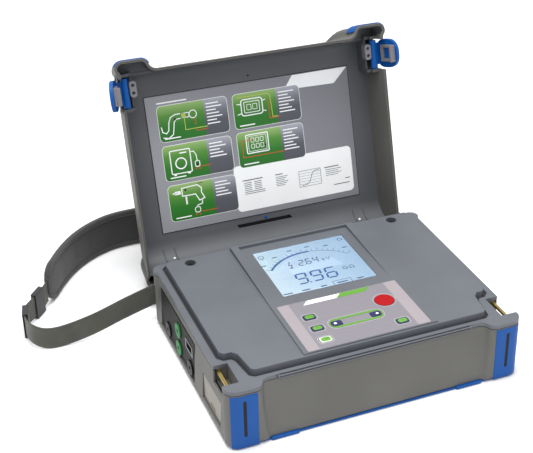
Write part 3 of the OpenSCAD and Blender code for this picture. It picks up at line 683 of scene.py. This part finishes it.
# switch panel
white += loop_of(pill(2, -7.5, 26, 21, 1), 1.2) + loop_of(pill(2, -7.5, 21.5, 17, 0.8), 0.5)
white += [c for x in (-3.5, 2, 7.5) for y in (-11.5, -4.5) for c in loop_of(pill(x, y, 3.6, 4.6, 0.6), 0.6)]
red += stroke([(-3, -12), (-16, -12), (-16, 7), (34, 7)], 0.8)
dark += [circle(11, -4, 1.3, 12), circle(-70, 4, 1.4, 12), circle(-88.5, -49.5, 1.5, 12)]
for x0, y0, x1, y1, s in CARDS:
    for k in range(7 if y0 < -30 or y0 > 50 or x0 > -50 else 5):
        w = (x1 - s - 6) * (0.86 - 0.16 * ((k * 5 + int(x0)) % 3))
        white.append(pill(s + 2.5 + w / 2, y0 + 5 + 3.7 * k, w, 1.3, 0.5, 2))
    white.append(pill(x0 + 14, y1 - 3.2, 18, 1.3, 0.5, 2))
white.append(pill(-90, -69, 34, 1.5, 0.6, 2))
for k in range(7):
    grey += [pill(-15, 36 + 2.1 * k, 9, 0.8, 0.3, 2), pill(-3, 36 + 2.1 * k, 9 if k < 5 else 16, 0.8, 0.3, 2)]
for k in range(6):
    grey.append(pill(26 - (k % 3), 36 + 2.0 * k, 15 - 2 * (k % 3), 0.7, 0.3, 2))
dark += [pill(-9, 33, 24, 0.9, 0.3, 2), pill(23, 33, 9, 0.9, 0.3, 2), pill(88, 35.5, 18, 0.9, 0.3, 2)]
grey += [c for k in range(1, 6) for c in stroke([(47, 34.5 + 3.1 * k), (74, 34.5 + 3.1 * k)], 0.3)]
grey += loop_of([(47, 34.5), (74, 34.5), (74, 53), (47, 53)], 0.5)
grey += stroke([(50, 51.5), (56, 51), (60, 48), (63, 40), (66, 36.6), (73, 35.6)], 0.7)
grey += [pill(90 - (k % 2) * 2, 38.5 + 2.2 * k, 20 - 4 * (k % 2), 0.7, 0.3, 2) for k in range(4)]
dark += [pill(107, 52, 6, 0.8, 0.3, 2), pill(99, 57.5, 20, 0.8, 0.3, 2)]
for name, polys, mat in (("label_white_lines", white, white_ink), ("label_red_lines", red, red_ink),
                         ("label_yellow_lines", yellow, yellow_ink), ("label_black_marks", dark, black_ink),
                         ("label_grey_lines", grey, grey_ink)):
    on_card(name, polys, mat, 0.15 if mat is not grey_ink else 0.06)

# ---------- display ----------


def digit(x, y, w, h, t, shape, slant=0.14):
    """A seven-segment digit: shape names its lit segments."""
    g, m = t * 0.12, h / 2
    flat_bar = [(t * 0.55 + g, t / 2), (t * 1.05 + g, t), (w - t * 1.05 - g, t), (w - t * 0.55 - g, t / 2),
                (w - t * 1.05 - g, 0), (t * 1.05 + g, 0)]
    tall_bar = [(0, t * 1.05 + g), (t / 2, t * 0.55 + g), (t, t * 1.05 + g), (t, m - t * 0.55 - g),
                (t / 2, m - g), (0, m - t * 0.55 - g)]
    where = {"a": (flat_bar, 0, h - t), "g": (flat_bar, 0, m - t / 2), "d": (flat_bar, 0, 0),
             "f": (tall_bar, 0, m), "b": (tall_bar, w - t, m), "e": (tall_bar, 0, 0),
             "c": (tall_bar, w - t, 0)}
    return [[(x + px + dx + slant * (py + dy), y + py + dy) for px, py in bar]
            for bar, dx, dy in (where[s] for s in shape)]


n = Nodes("lcd_panel")
uv = n.new("UVMap").outputs[0]
part = n.new("SeparateXYZ", {0: uv})
# the display darkens towards the right and the rear, and glows faintly: painted shade and painted glow
painted_shade_slope = n.math("ADD", n.math("MULTIPLY", part.outputs[0], 0.75), n.math("MULTIPLY", part.outputs[1], 0.25))
shade = n.ramp(painted_shade_slope, [(0.0, srgb(222, 238, 246)), (0.4, srgb(196, 219, 236)), (1.0, srgb(170, 198, 224))])
n.set("Base Color", shade)
n.set("Emission Color", shade)
n.set("Emission Strength", 0.12)
n.set("Roughness", 0.35)
lcd_painted_shade_glow = n.mat
paint(CAD["lcd_panel"], M["lcd"])
on_glass("lcd_field", [[(-51.9, -4.2), (51.9, -4.2), (51.9, 87.2), (-51.9, 87.2)]], lcd_painted_shade_glow, 0.0)
lcd_ink = ink("lcd_blue", 38, 98, 178, rough=0.4)
lcd_dark = ink("lcd_navy", 52, 84, 140, rough=0.4)
main = []
for shape, x in (("abcdfg", -29), ("abcdfg", -12.5), ("acdefg", 3.5)):
    main += digit(x, 11.5, 12.5, 20.5, 2.1, shape)
main += [pill(-14.8, 12.3, 2, 2, 0.6, 3)]
small = []
for shape, x in (("abged", -14.5), ("acdefg", -6.2), ("fgbc", 2.0)):
    small += digit(x, 45, 6.2, 11.5, 1.4, shape)
small += [pill(-7.7, 45.6, 1.3, 1.3, 0.4, 3)]
small += stroke([(-21.4, 57), (-24.4, 50.5), (-21, 50.5), (-23.4, 44.2)], 1.1)
small += stroke([(-25, 46.5), (-23.6, 43.6), (-21.6, 45.8)], 0.8)
C0 = (-0.5, 14.3)
main += stroke(arc(*C0, 55.4, 142.6, 83.6, 24), 2.6)
fine = stroke(arc(*C0, 55.4, 83.6, 39.4, 18), 0.6)
for k in range(19):
    a = math.radians(142.6 - (142.6 - 39.4) * k / 18)
    long_ = 5.0 if k % 3 == 0 else 2.6
    fine += stroke([(C0[0] + r * math.cos(a), C0[1] + r * math.sin(a)) for r in (56.8, 56.8 + long_)], 0.5)
for k in range(6):
    a = math.radians(136 - 88 * k / 5)
    fine.append(pill(C0[0] + 67 * math.cos(a), C0[1] + 65 * math.sin(a), 5.5, 1.6, 0.5, 2))
fine += [pill(x, 0.4, w, 1.8, 0.5, 2) for x, w in ((-45, 10), (-25.5, 9), (-6, 7), (14.8, 12), (34.8, 8))]
fine += loop_of([(5, -3), (24.8, -3), (24.8, 4.4), (5, 4.4)], 0.6)
fine += loop_of(pill(-45.5, 77, 5, 5, 0.8, 3), 0.7) + stroke([(-47, 72.6), (-44, 72.6)], 0.8)
fine += loop_of(pill(46.5, 80, 5, 4, 0.6, 3), 0.7)
# unit marks of a voltmeter and an ohmmeter
fine += stroke([(13, 46), (13, 51)], 0.8) + stroke([(15.6, 50), (13.2, 48.2), (15.8, 46)], 0.7)
fine += stroke([(17.4, 51.5), (19.4, 46), (21.6, 51.5)], 0.8)
fine += stroke([(30.4, 26.2)] + arc(28.2, 24.2, 2.6, 40, 330, 9) + [(30.6, 24), (28.8, 24)], 0.8)
omega = arc(35.4, 24.6, 2.4, 240, -60, 10)
fine += stroke([(32.6, 21.6), (34.2, 21.6)] + omega + [(36.6, 21.6), (38.2, 21.6)], 0.8)
on_glass("lcd_main_segments", main, lcd_ink)
on_glass("lcd_small_segments", small, lcd_dark)
on_glass("lcd_fine_segments", fine, lcd_dark)
n = Nodes("window")
n.set("Base Color", (0.96, 0.98, 1, 1))
n.set("Transmission Weight", 1.0)
n.set("Roughness", 0.03)
n.set("IOR", 1.45)
n.set("Normal", n.bump(n.noise(6, 1), 0.02, 0.0002))
build("window_pane", *box_mesh((-51.6, -3.9, 72.3), (51.6, 86.9, 72.8)), n.mat, "case", "window",
      replace=["display_window"])

# ---------- keypad ----------

KEYS = {"menu_key": (-42.5, -48.5), "select_key": (-42.5, -68.7), "light_key": (-42.5, -89),
        "memory_key": (38.5, -89)}
n = Nodes("overlay_print")
waves = hexagons(n, (1, 1, 0), lambda c, d: (c * 3000, d * 3000, 0))
n.set("Base Color", n.ramp(n.math("MULTIPLY_ADD", waves, 0.2, 0.4),
                           [(0.2, srgb(124, 120, 127)), (0.75, srgb(148, 143, 149))]))
n.set("Roughness", 0.5)
n.set("Normal", n.bump(n.noise(1200, 2), 0.25, 0.00003))
soften("keypad_overlay", 0.12, 2, mat=n.mat)
band_ink = ink("overlay_band", 158, 150, 153)
halo_ink = ink("halo", 172, 170, 172)
green_ink = ink("green_ink", 96, 156, 48)
on_overlay("overlay_bands", [[(-65.4, -101), (-53.6, -101), (-53.6, -20), (-65.4, -20)],
                             [(50.2, -101), (63.4, -101), (63.4, -20), (50.2, -20)]], band_ink, 0, 0.05)
on_overlay("overlay_white_strip", [[(-34, -20.6), (2, -20.6), (-4, -27.2), (-40, -27.2)]], white_ink)
on_overlay("overlay_green_strip", [[(2, -20.6), (35, -20.6), (27, -27.2), (-4, -27.2)]], green_ink)
halos = []
for x, y in KEYS.values():
    halos += loop_of(pill(x, y, 15, 11.4, 3.4), 0.7)
halos += loop_of(pill(-1.25, -68.3, 59, 17.6, 8.4), 0.7) + loop_of(circle(38, -49.5, 11.6, 40), 0.7)
on_overlay("overlay_halos", halos, halo_ink)
soften("cursor_ring", 0.1, 2)
paint(CAD["cursor_ring"], M["key_green"])
pale_rim = ink("pale_rim", 214, 220, 206)
for node, (x, y) in KEYS.items():
    soften(node, 0.3, 2, mat=pale_rim if node == "light_key" else M["key_navy"])
    build(node + "_cap", *domed(pill(x, y, 9.4, 6.0, 2.4), CAP_Z - 0.5, CAP_Z, 0.35), M["key_green"], node,
          "key_green", smooth=True)
    mark = loop_of(circle(x, y, 0.9, 12), 0.35) if node != "light_key" else [pill(x, y, 3, 0.6, 0.2, 2)]
    printed(node + "_mark", mark, ink(node + "_ink", 60, 110, 40), node, "key_green", flat(CAP_Z), 0, 0.03)
for node, s, cx in (("cursor_left_key", -1, -22.0), ("cursor_right_key", 1, 19.5)):
    soften(node, 0.3, 2, mat=M["key_navy"])
    printed(node + "_dot", [circle(cx + s * 1.6, -68.3, 1.5, 16)], white_ink, node, "key_navy",
            flat(CURSOR_Z), 0.0, 0.04)
soften("test_key", 0.5, 4, mat=M["key_red"])

# ---------- lid ----------

LID_Z, LID_H, PANEL_Z = 66.4, 130.0, 105.2
IN_LID = ("lid", "shell_inner", opened)


def lid_ring(z, s, d=0.0):
    return at(outline(LOBE_X - s, LOBE_Y - 1.2 * s, LID_REAR - s, LID_REAR_R - 0.2 * s, d,
                      corner=LID_CORNER_R), z)


def lid_end(z, s):
    """A ring inside a flat end of the lid, with its front lobes all but gone."""
    front = RECESS - LOBE_Y + 1.2 * s
    return [(x, front + 0.1 * (y - front) if y < front else y, z) for x, y, z in lid_ring(z, s)]


inner_steps = [(127, 15.2, 5), (126, 13.6, 4.2), (123, 11, 3.6), (118, 8.1, 3.2), (106, 5, 3), (90, 3, 3),
               (76, 1.3, 3), (68, 0.2, 3)]
outer_steps = [(76, 1.3), (90, 3), (106, 5), (115, 6.8), (121, 9.4), (125.6, 13), (128.8, 18), (LID_H, 24.5)]
edge_steps = [(0.35, 2.9), (0, 2.6), (0, 1.9), (1.0, 1.75), (1.0, 1.3), (0, 1.15), (0, 0.5), (0.5, 0.0)]
rings = [lid_end(127, 24)] + [lid_ring(*e) for e in inner_steps]
inner_count = len(rings)
rings += [lid_ring(LID_Z + up_, 0, d) for up_, d in edge_steps]
rings += [lid_ring(z, s) for z, s in outer_steps] + [lid_end(LID_H, 28)]
n_ring = len(rings[0])
# the inner front and rear are darker than the inner sides and the outside: painted shade for the band under
# the lid's front wall
painted_shade_faces = [0 if k // n_ring < inner_count - 1 else 1 for k in range(n_ring * (len(rings) - 1))] + [0, 1]
for k in range(n_ring * (inner_count - 1)):
    a, b = rings[inner_count - 1][k % n_ring], rings[inner_count - 1][(k + 1) % n_ring]
    if min(abs(a[0]), abs(b[0])) > 145 and min(a[1], b[1]) > -113:
        painted_shade_faces[k] = 1
# a darker grey than the lining: painted shade on the lid's inner front and rear
lid_inner_painted_shade = moulded("lid_inner_painted_shade", srgb(70, 72, 75), 0.6)
lid = build("lid_body", *lofted(rings), [lid_inner_painted_shade, M["shell"]], *IN_LID, face_mats=painted_shade_faces,
            replace=["lid_shell"])
for s in (-1, 1):
    cut(lid, "latch_slot%d" % s, *sided(s, (139.5, -106, 60), (170, -72, 88.5)), place=opened)
bevel(lid, 0.45, 2, 40)
skirt = box_mesh((-124, 122.4, 50), (124, 124.6, 69))
bevel(build("lid_skirt", *skirt, M["shell"], *IN_LID), 0.6, 2)

# lining: a panel that curves down to the front wall, and further down to the hinges
LINER_R, LINER_Y = 24, 84
liner_mat = moulded("liner", srgb(84, 86, 90), 0.55)
front_arc = arc(-92.2, PANEL_Z - 14.2, 14.2, 180, 90, 8)
rear_arc = arc(LINER_Y, PANEL_Z - LINER_R, LINER_R, 90, 0, 12)
profile = [(-106.5, 90)] + front_arc + [(-60, PANEL_Z), (0, PANEL_Z), (50, PANEL_Z)] + rear_arc
profile += [(108, 75), (108, 69.5)]


def liner_edge(y, z):
    """Half of the lining's width: it ends inside the side wall, which leans in and widens at the corners."""
    draft = 5.0 * (z - LID_Z) / (106 - LID_Z)
    return LOBE_X - draft - 1.6 - (3 if -98 < y < 97 else 0)


back_of = [(y - 1.6 if k < 9 else y + (1.6 if k > 20 else 0), z + (1.6 if 4 < k < 22 else 0))
           for k, (y, z) in enumerate(profile)]
rows = []
for side in (-1, 1):
    for share in ((1, 0.93, 0.6) if side < 0 else (0.6, 0.93, 1)):
        row = [(side * share * liner_edge(y, z), y, z) for y, z in profile]
        row += [(side * share * liner_edge(y, z), y, z) for y, z in back_of[::-1]]
        rows.append(row)
liner = build("liner", *lofted(rows), liner_mat, *IN_LID, replace=["lid_liner"])
slot_plan = [(-33.5, 82.6), (31, 82.6), (33.5, 86.6), (-31, 86.6)]
cut(liner, "liner_slot", *prism(slot_plan, PANEL_Z - 4, PANEL_Z + 4), place=opened)
bevel(liner, 0.4, 2, 50)
# a black floor under the lining's slot: painted shadow in the slot
bevel(build("slot_shadow_floor", *box_mesh((-36, 81, PANEL_Z + 3.5), (36, 89, PANEL_Z + 4.5)), black_ink, *IN_LID),
      0.2)

# the lining's floor in the two front lobes
floors = []
for s in (-1, 1):
    plan = outline(LOBE_X - 3.4, LOBE_Y - 4.1, LID_REAR, LID_REAR_R, 1.6, corner=LID_CORNER_R)
    inner = [(x, y) for x, y in plan if y < -105.2 and x > 108]
    inner += [(inner[-1][0], -104.6), (inner[0][0], -104.6)]
    floors.append(prism([(s * x, y) for x, y in inner], 90.6, 96))
bevel(build("liner_corners", *many(floors), liner_mat, *IN_LID), 0.5, 2, 60)

# two ribs by each hinge, along the curve of the lining
extra = []
for s in (-1, 1):
    for x in (109, 122):
        outer = arc(LINER_Y, PANEL_Z - LINER_R, LINER_R + 0.5, 28, 72, 10)
        crest = arc(LINER_Y, PANEL_Z - LINER_R, LINER_R - 1.5, 31, 69, 10)
        face = outer + crest[::-1]
        extra.append(lofted([[(s * x - 0.75, y, z) for y, z in face],
                             [(s * x + 0.75, y, z) for y, z in face]]))
bevel(build("liner_ribs", *many(extra), liner_mat, *IN_LID), 0.35, 2)


def stud(x, y, z, r, h, steps=5, n=20):
    """A low dome standing on a plane of the lid's panel, towards the deck."""
    rings = []
    for i in range(steps + 1):
        t = math.pi / 2 * i / steps
        rings.append([(x + r * math.cos(t) * math.cos(a) if i < steps else x + 0.01 * math.cos(a),
                       y + (r * math.cos(t) if i < steps else 0.01) * math.sin(a), z - h * math.sin(t))
                      for a in (2 * math.pi * k / n for k in range(n))])
    return lofted(rings)


# white studs on the hinge pins: painted highlights
build("hinge_pin_highlights", *many([stud(s * 113, 102.6, 95.6, 1.5, 2.0) for s in (-1, 1)]), white_ink, *IN_LID,
      smooth=True)
build("lid_magnet", *stud(1.7, 79.5, PANEL_Z, 1.9, 0.7), M["bumper"], *IN_LID, smooth=True)
build("lid_sensor", *stud(0.5, -84, PANEL_Z, 1.3, 0.4), black_ink, *IN_LID, smooth=True)
n = Nodes("label_print_painted_shade")
waves = hexagons(n, (1, 0, 1), lambda c, d: (c * 2600, 0, d * 2600))
# the silver label darkens towards the right and the top: painted shade
across = n.new("SeparateXYZ", {0: n.coord})
tone = n.math("MULTIPLY_ADD", across.outputs[0], 1.6, 0.42)
tone = n.math("ADD", tone, n.math("MULTIPLY_ADD", across.outputs[2], 1.2, -0.17))
tone = n.math("MULTIPLY_ADD", waves, 0.035, tone)
n.set("Base Color", n.ramp(tone, [(0.05, srgb(168, 168, 174)), (0.5, srgb(136, 137, 143)),
                                  (0.95, srgb(100, 103, 108))]))
n.set("Metallic", 0.25)
n.set("Roughness", 0.42)
n.set("Normal", n.bump(n.noise(1000, 2), 0.2, 0.00003))
soften("lid_label", 0.15, 2, mat=n.mat)

# caps on the lid's front corners, outside the wall
caps = []
first, last = 13, 30     # the outline points of a lobe's outer corner
for s in (-1, 1):
    rings = []
    for z, draft, out in ((68.2, 0.22, 0.3), (68.8, 0.3, 1.3), (76, 1.3, 1.6), (84, 2.3, 1.6),
                          (84.8, 2.4, 0.3)):
        rim_ = [lid_ring(z, draft, -d)[first:last] for d in (out, 0.05)]
        rings.append([(s * x, y, z_) for x, y, z_ in rim_[0] + rim_[1][::-1]])
    caps.append(lofted(rings))
bevel(build("lid_caps", *many(caps), M["bumper"], "lid", "bumper", opened, replace=["lid_bumpers"]),
      0.4, 2, 40)

# dark strip round the label: painted shadow in the groove of its recess
edge = stroke([(-119.9, -77.6), (119.9, -77.6), (119.9, 75.1), (-119.9, 75.1)], 0.9, closed=True)
build("label_edge_shadow", *many([prism(q, 0, 0.12) for q in edge]), black_ink, "lid", "label",
      lambda p: opened((p[0], p[1], PANEL_Z - p[2])))

# ---------- latches ----------

LATCH_X, LATCH_Z, LATCH_SWING = 143.5, 80.0, math.radians(20)


def latch_place(side):
    """Where a point of the right-hand latch, fastened with the lid closed, is on either side at rest."""
    def place(p):
        dx, dz = p[0] - LATCH_X, p[2] - LATCH_Z
        x = LATCH_X + dx * math.cos(LATCH_SWING) - dz * math.sin(LATCH_SWING)
        z = LATCH_Z + dx * math.sin(LATCH_SWING) + dz * math.cos(LATCH_SWING)
        return opened((side * x, p[1], z))
    return place


clips, arms = [], []
for s in (-1, 1):
    clips.append(prism(pill(s * 135.6, -92.6, 7.6, 17.5, 3.2), 76, 86))
    arms += [sided(s, (139.2, y, 76), (149.9, y + 3.4, 84)) for y in (-109.6, -72.4)]
    arms += [sided(s, a, b) for a, b in
             (((134.2, -110, 84), (136.8, -69, PANEL_Z + 1)), ((134.2, -109.6, 81), (141, -106.2, 86)),
              ((134.2, -72.4, 81), (141, -69, 86)), ((149.6, -110, 70), (151.2, -106.4, 84)),
              ((149.6, -71.6, 70), (151.2, -69, 84)))]
# the latch arms take the lid's darkened grey, which is painted shade
bevel(build("latch_arms", *many(arms), lid_inner_painted_shade, "lid", "latch_grey", opened, replace=["latch_brackets"]),
      0.4, 2)
clip = build("latch_clips", *many(clips), M["latch_grey"], "lid", "latch_grey", opened)
for k, (s, y) in enumerate((s, y) for s in (-1, 1) for y in (-96.7, -88.5)):
    cut(clip, "clip_hole%d" % k, *prism(circle(s * 135.6, y, 1.7, 16), 74, 80), place=opened)
bevel(clip, 0.6, 2)
for s, side in ((-1, "left"), (1, "right")):
    bars = [box_mesh((149.4, -99, 54), (152.3, -95.6, 75)), box_mesh((149.4, -83.4, 54), (152.3, -80, 75)),
            box_mesh((149.4, -95.6, 70.5), (152.3, -83.4, 75)),
            box_mesh((149.4, -95.6, 54), (152.3, -83.4, 59)),
            box_mesh((145, -99, 54), (149.6, -80, 56.8))]
    bevel(build("latch_hook_" + side, *many(bars), M["latch_grey"], "latch_" + side, "latch_grey",
                latch_place(s), replace=["latch_catch_" + side]), 0.5, 2)

# ---------- strap ----------

PAD_MID, PAD_END_R = 23.0, 15.0     # half of the pad's width, and its ends' corner radius


def spline(points, steps):
    out = []
    n = len(points)
    for i in range(n - 1):
        a, b, c, d = (Vector(points[k]) for k in (max(i - 1, 0), i, i + 1, min(i + 2, n - 1)))
        for s in range(steps):
            t = s / steps
            out.append(0.5 * (2 * b + (c - a) * t + (2 * a - 5 * b + 4 * c - d) * t * t
                              + (3 * b - a - 3 * c + d) * t ** 3))
    return out + [Vector(points[-1])]


def swept(name, path, section, mat, slot, body="case", smooth=True, shares=None):
    """A section of (across, height) points carried along a path, upright, with a UV map in metres."""
    rings, along, uv = [], 0.0, []
    around = [0.0]
    for i in range(len(section)):
        around.append(around[-1] + math.dist(section[i], section[(i + 1) % len(section)]))
    for i, c in enumerate(path):
        t = path[min(i + 1, len(path) - 1)] - path[max(i - 1, 0)]
        side = Vector((-t.y, t.x, 0)).normalized()
        if i:
            along += (path[i] - path[i - 1]).length
        share = shares[i] if shares else 1
        rings.append([tuple(c + side * a + Vector((0, 0, PAD_MID + (h - PAD_MID) * share)))
                      for a, h in section])
        uv += [(along * MM, around[k] * MM) for k in range(len(section))]
    obj = build(name, *lofted(rings), mat, body, slot, smooth=smooth)
    layer = obj.data.uv_layers.new(name="map").data
    n = len(section)
    for poly in obj.data.polygons:
        wraps = {obj.data.loops[k].vertex_index % n for k in poly.loop_indices} >= {0, n - 1} and n > 2
        for k in poly.loop_indices:
            i = obj.data.loops[k].vertex_index
            u, w = uv[i]
            layer[k].uv = (u, around[n] * MM if wraps and i % n == 0 else w)
    return obj


def woven(name, dark, light, pitch, rough=0.9, depth=0.0003, twill=0.5):
    """Cloth whose threads run along and across the UV map, which is in metres."""
    n = Nodes(name)
    part = n.new("SeparateXYZ", {0: n.new("UVMap").outputs[0]})
    k = 2 * math.pi / pitch
    u, w = n.math("MULTIPLY", part.outputs[0], k), n.math("MULTIPLY", part.outputs[1], k)
    a = n.math("SINE", n.math("MULTIPLY_ADD", w, twill, u))
    b = n.math("SINE", w)
    weave = n.math("MULTIPLY_ADD", n.math("MULTIPLY", a, b), 0.5, 0.5)
    fuzz = n.noise(1800, 3)
    wear = n.noise(38, 4)
    height = n.math("MULTIPLY_ADD", fuzz, 0.35, weave)
    tone = n.math("MULTIPLY_ADD", wear, 0.55, n.math("MULTIPLY_ADD", weave, 0.45, -0.02))
    n.set("Base Color", n.ramp(tone, [(0.2, srgb(*dark)), (0.85, srgb(*light))]))
    n.set("Roughness", rough)
    n.set("Sheen Weight", 0.25)
    n.set("Sheen Roughness", 0.5)
    n.set("Normal", n.bump(height, 0.6, depth))
    return n.mat


WEB_W, WEB_T, LOW, SLIDER = 25.0, 1.6, 12.5, 15.0
left_route = [(-133, 122, 28), (-150, 120, 28), (-186, 112, 24), (-222, 106, 17), (-254, 104, LOW),
              (-272, 106, LOW), (-283.5, 115, SLIDER), (-287, 131, SLIDER), (-285, 141, SLIDER),
              (-283, 151, SLIDER),
              (-273.8, 162.4, SLIDER), (-266, 172, SLIDER), (-258.2, 181.6, SLIDER), (-253.5, 187, 17)]
pad_route = [(-252, 188, 0), (-242, 202, 0), (-229, 222, 0), (-211, 244, 0), (-188, 263, 0), (-160, 276, 0),
             (-130, 279, 0), (-100, 276, 0), (-68, 274, 0), (-36, 276, 0), (-4, 280, 0), (26, 282, 0)]
right_route = [(28, 282, 17), (60, 279, LOW), (96, 268, LOW), (128, 249, LOW), (152, 224, LOW),
               (165, 195, 14), (169, 166, 18), (166, 142, 24), (157, 127, 28), (146, 122, 28),
               (133, 122, 28)]
half_t, half_w = WEB_T / 2, WEB_W / 2
web_section = [(-half_t * 0.4, -half_w), (half_t * 0.4, -half_w), (half_t, -half_w + 1)]
web_section += [(half_t * (1 + 0.1 * math.cos(k)), h) for k, h in enumerate((-8, -4, 0, 4, 8))]
web_section += [(half_t, half_w - 1), (half_t * 0.4, half_w), (-half_t * 0.4, half_w), (-half_t, half_w - 1)]
web_section += [(-half_t * (1 + 0.1 * math.cos(k)), h) for k, h in enumerate((8, 4, 0, -4, -8))]
web_section += [(-half_t, -half_w + 1)]
web_mat = woven("webbing_weave", (48, 48, 43), (92, 91, 82), 0.0016, twill=0.0)
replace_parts(swept("webbing_left", spline(left_route, 7), web_section, web_mat, "webbing"),
            "strap_webbing_left")
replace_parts(swept("webbing_right", spline(right_route, 7), web_section, web_mat, "webbing"),
            "strap_webbing_right")


path = spline(pad_route, 7)
run = [0.0]
for i in range(1, len(path)):
    run.append(run[-1] + (path[i] - path[i - 1]).length)


def end_share(s):
    """How much of the pad's width is left at s along it: its ends have round corners."""
    e = min(s, run[-1] - s)
    flat_part = PAD_MID - PAD_END_R
    return 1 if e > PAD_END_R else (flat_part + math.sqrt(PAD_END_R ** 2 - (PAD_END_R - e) ** 2)) / PAD_MID


shares = [end_share(s) for s in run]
pad_section = []
N_PAD = 26
CLOTH_STEPS, CLOTH_LIMIT = 20, 0.004     # the limit is how far a point may move, in metres
for k in range(N_PAD):
    a = 2 * math.pi * k / N_PAD - math.pi / 2
    c, s = math.cos(a), math.sin(a)
    grow = (abs(c) ** 5 + abs(s) ** 5) ** (-1 / 5)
    h = s * grow
    swell = 0.62 + 0.38 * (1 - abs(h) ** 3)
    pad_section.append((c * grow * 3.2 * swell, PAD_MID + h * 22.2))
pad_mat = woven("pad_cloth", (30, 30, 31), (54, 54, 54), 0.0022, twill=0.5)
pad = swept("shoulder_pad", path, pad_section, pad_mat, "pad", shares=shares)
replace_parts(pad, "strap_pad")
rest = [v.co.copy() for v in pad.data.vertices]
pins = pad.vertex_groups.new(name="seams")
for i in range(len(rest)):
    h = pad_section[i % N_PAD][1] - PAD_MID
    end = min(i // N_PAD, len(path) - 1 - i // N_PAD)
    quilt = (i // N_PAD) % 14 == 7
    if abs(h) > 19.5 or end < 2 or quilt:
        pins.add([i], 1.0, "REPLACE")
cloth = pad.modifiers.new("cloth", "CLOTH")
st = cloth.settings
st.quality = 6
st.mass = 0.25
st.use_pressure = True
st.uniform_pressure_force = 30
st.tension_stiffness = 18
st.compression_stiffness = 8
st.shear_stiffness = 8
st.bending_stiffness = 0.6
st.effector_weights.gravity = 0
st.vertex_group_mass = "seams"
for k in range(1, CLOTH_STEPS + 1):
    scene.frame_set(k)
settle(pad)
scene.frame_set(1)
for v, r in zip(pad.data.vertices, rest):
    d = v.co - r
    if d.length > CLOTH_LIMIT:
        v.co = r + d.normalized() * CLOTH_LIMIT
pad.vertex_groups.clear()
sub = pad.modifiers.new("smooth", "SUBSURF")
sub.levels = sub.render_levels = 1

# binding tape round the pad's edge, with its stitching
tape_mat = woven("binding_tape", (40, 40, 39), (78, 77, 74), 0.0012, twill=0.0)
for k, (z, s) in enumerate(((0.3, 1), (45.7, -1))):
    half = [(2.3, z), (2.9, z + s * 0.9), (2.7, z + s * 6), (2.1, z + s * 6.1), (2.0, z + s * 1.4)]
    section = [(-2.9, z + s * 0.9), (-2.3, z)] + half + [(-a, h) for a, h in half[:1:-1]]
    swept("binding_%d" % k, path, section, tape_mat, "pad", shares=shares)
ends = []
for i, j in ((0, 2), (-1, -3)):
    c, d = path[i], path[j]
    t = (d - c).normalized()
    side = Vector((-t.y, t.x, 0))
    ring = []
    for u in (-1.2, 5):
        ring.append([tuple(c + t * u + side * a + Vector((0, 0, h))) for a, h in
                     ((-2.9, 13.5), (2.9, 13.5), (2.9, 32.5), (-2.9, 32.5))])
    ends.append(lofted(ring))
bevel(build("binding_ends", *many(ends), tape_mat, "case", "pad"), 1.1, 3)
stitches = []


def on_path(s):
    i = max(k for k in range(len(run) - 1) if run[k] <= s)
    t = (s - run[i]) / (run[i + 1] - run[i])
    d = (path[i + 1] - path[i]).normalized()
    return path[i].lerp(path[i + 1], t), d, Vector((-d.y, d.x, 0))


s = 17.0
while s < run[-1] - 17:
    c, d, side = on_path(s)
    for z in (5.0, 41.0):
        for face in (-1, 1):
            o = c + side * face * 2.95 + Vector((0, 0, z))
            u, w = d * 1.35, Vector((0, 0, 0.28))
            q = side * face * 0.35
            section = (-w, w, w + q, -w + q)
            stitches.append(lofted([[tuple(o + end + a) for a in section] for end in (-u, u)]))
    s += 4.2
build("pad_stitches", *many(stitches), ink("thread", 84, 83, 80, rough=0.8), "case", "pad")

# ---------- floor ----------

floor = bpy.data.meshes.new("floor")
floor.from_pydata([(-4, -4, -0.0006), (4, -4, -0.0006), (4, 4, -0.0006), (-4, 4, -0.0006)], [],
                  [(0, 1, 2, 3)])
floor_obj = bpy.data.objects.new("floor", floor)
scene.collection.objects.link(floor_obj)
n = Nodes("floor")
n.set("Base Color", n.ramp(n.noise(3, 2), [(0.3, srgb(250, 250, 250)), (0.7, srgb(252, 252, 252))]))
n.set("Roughness", 0.8)
paint(floor_obj, n.mat)
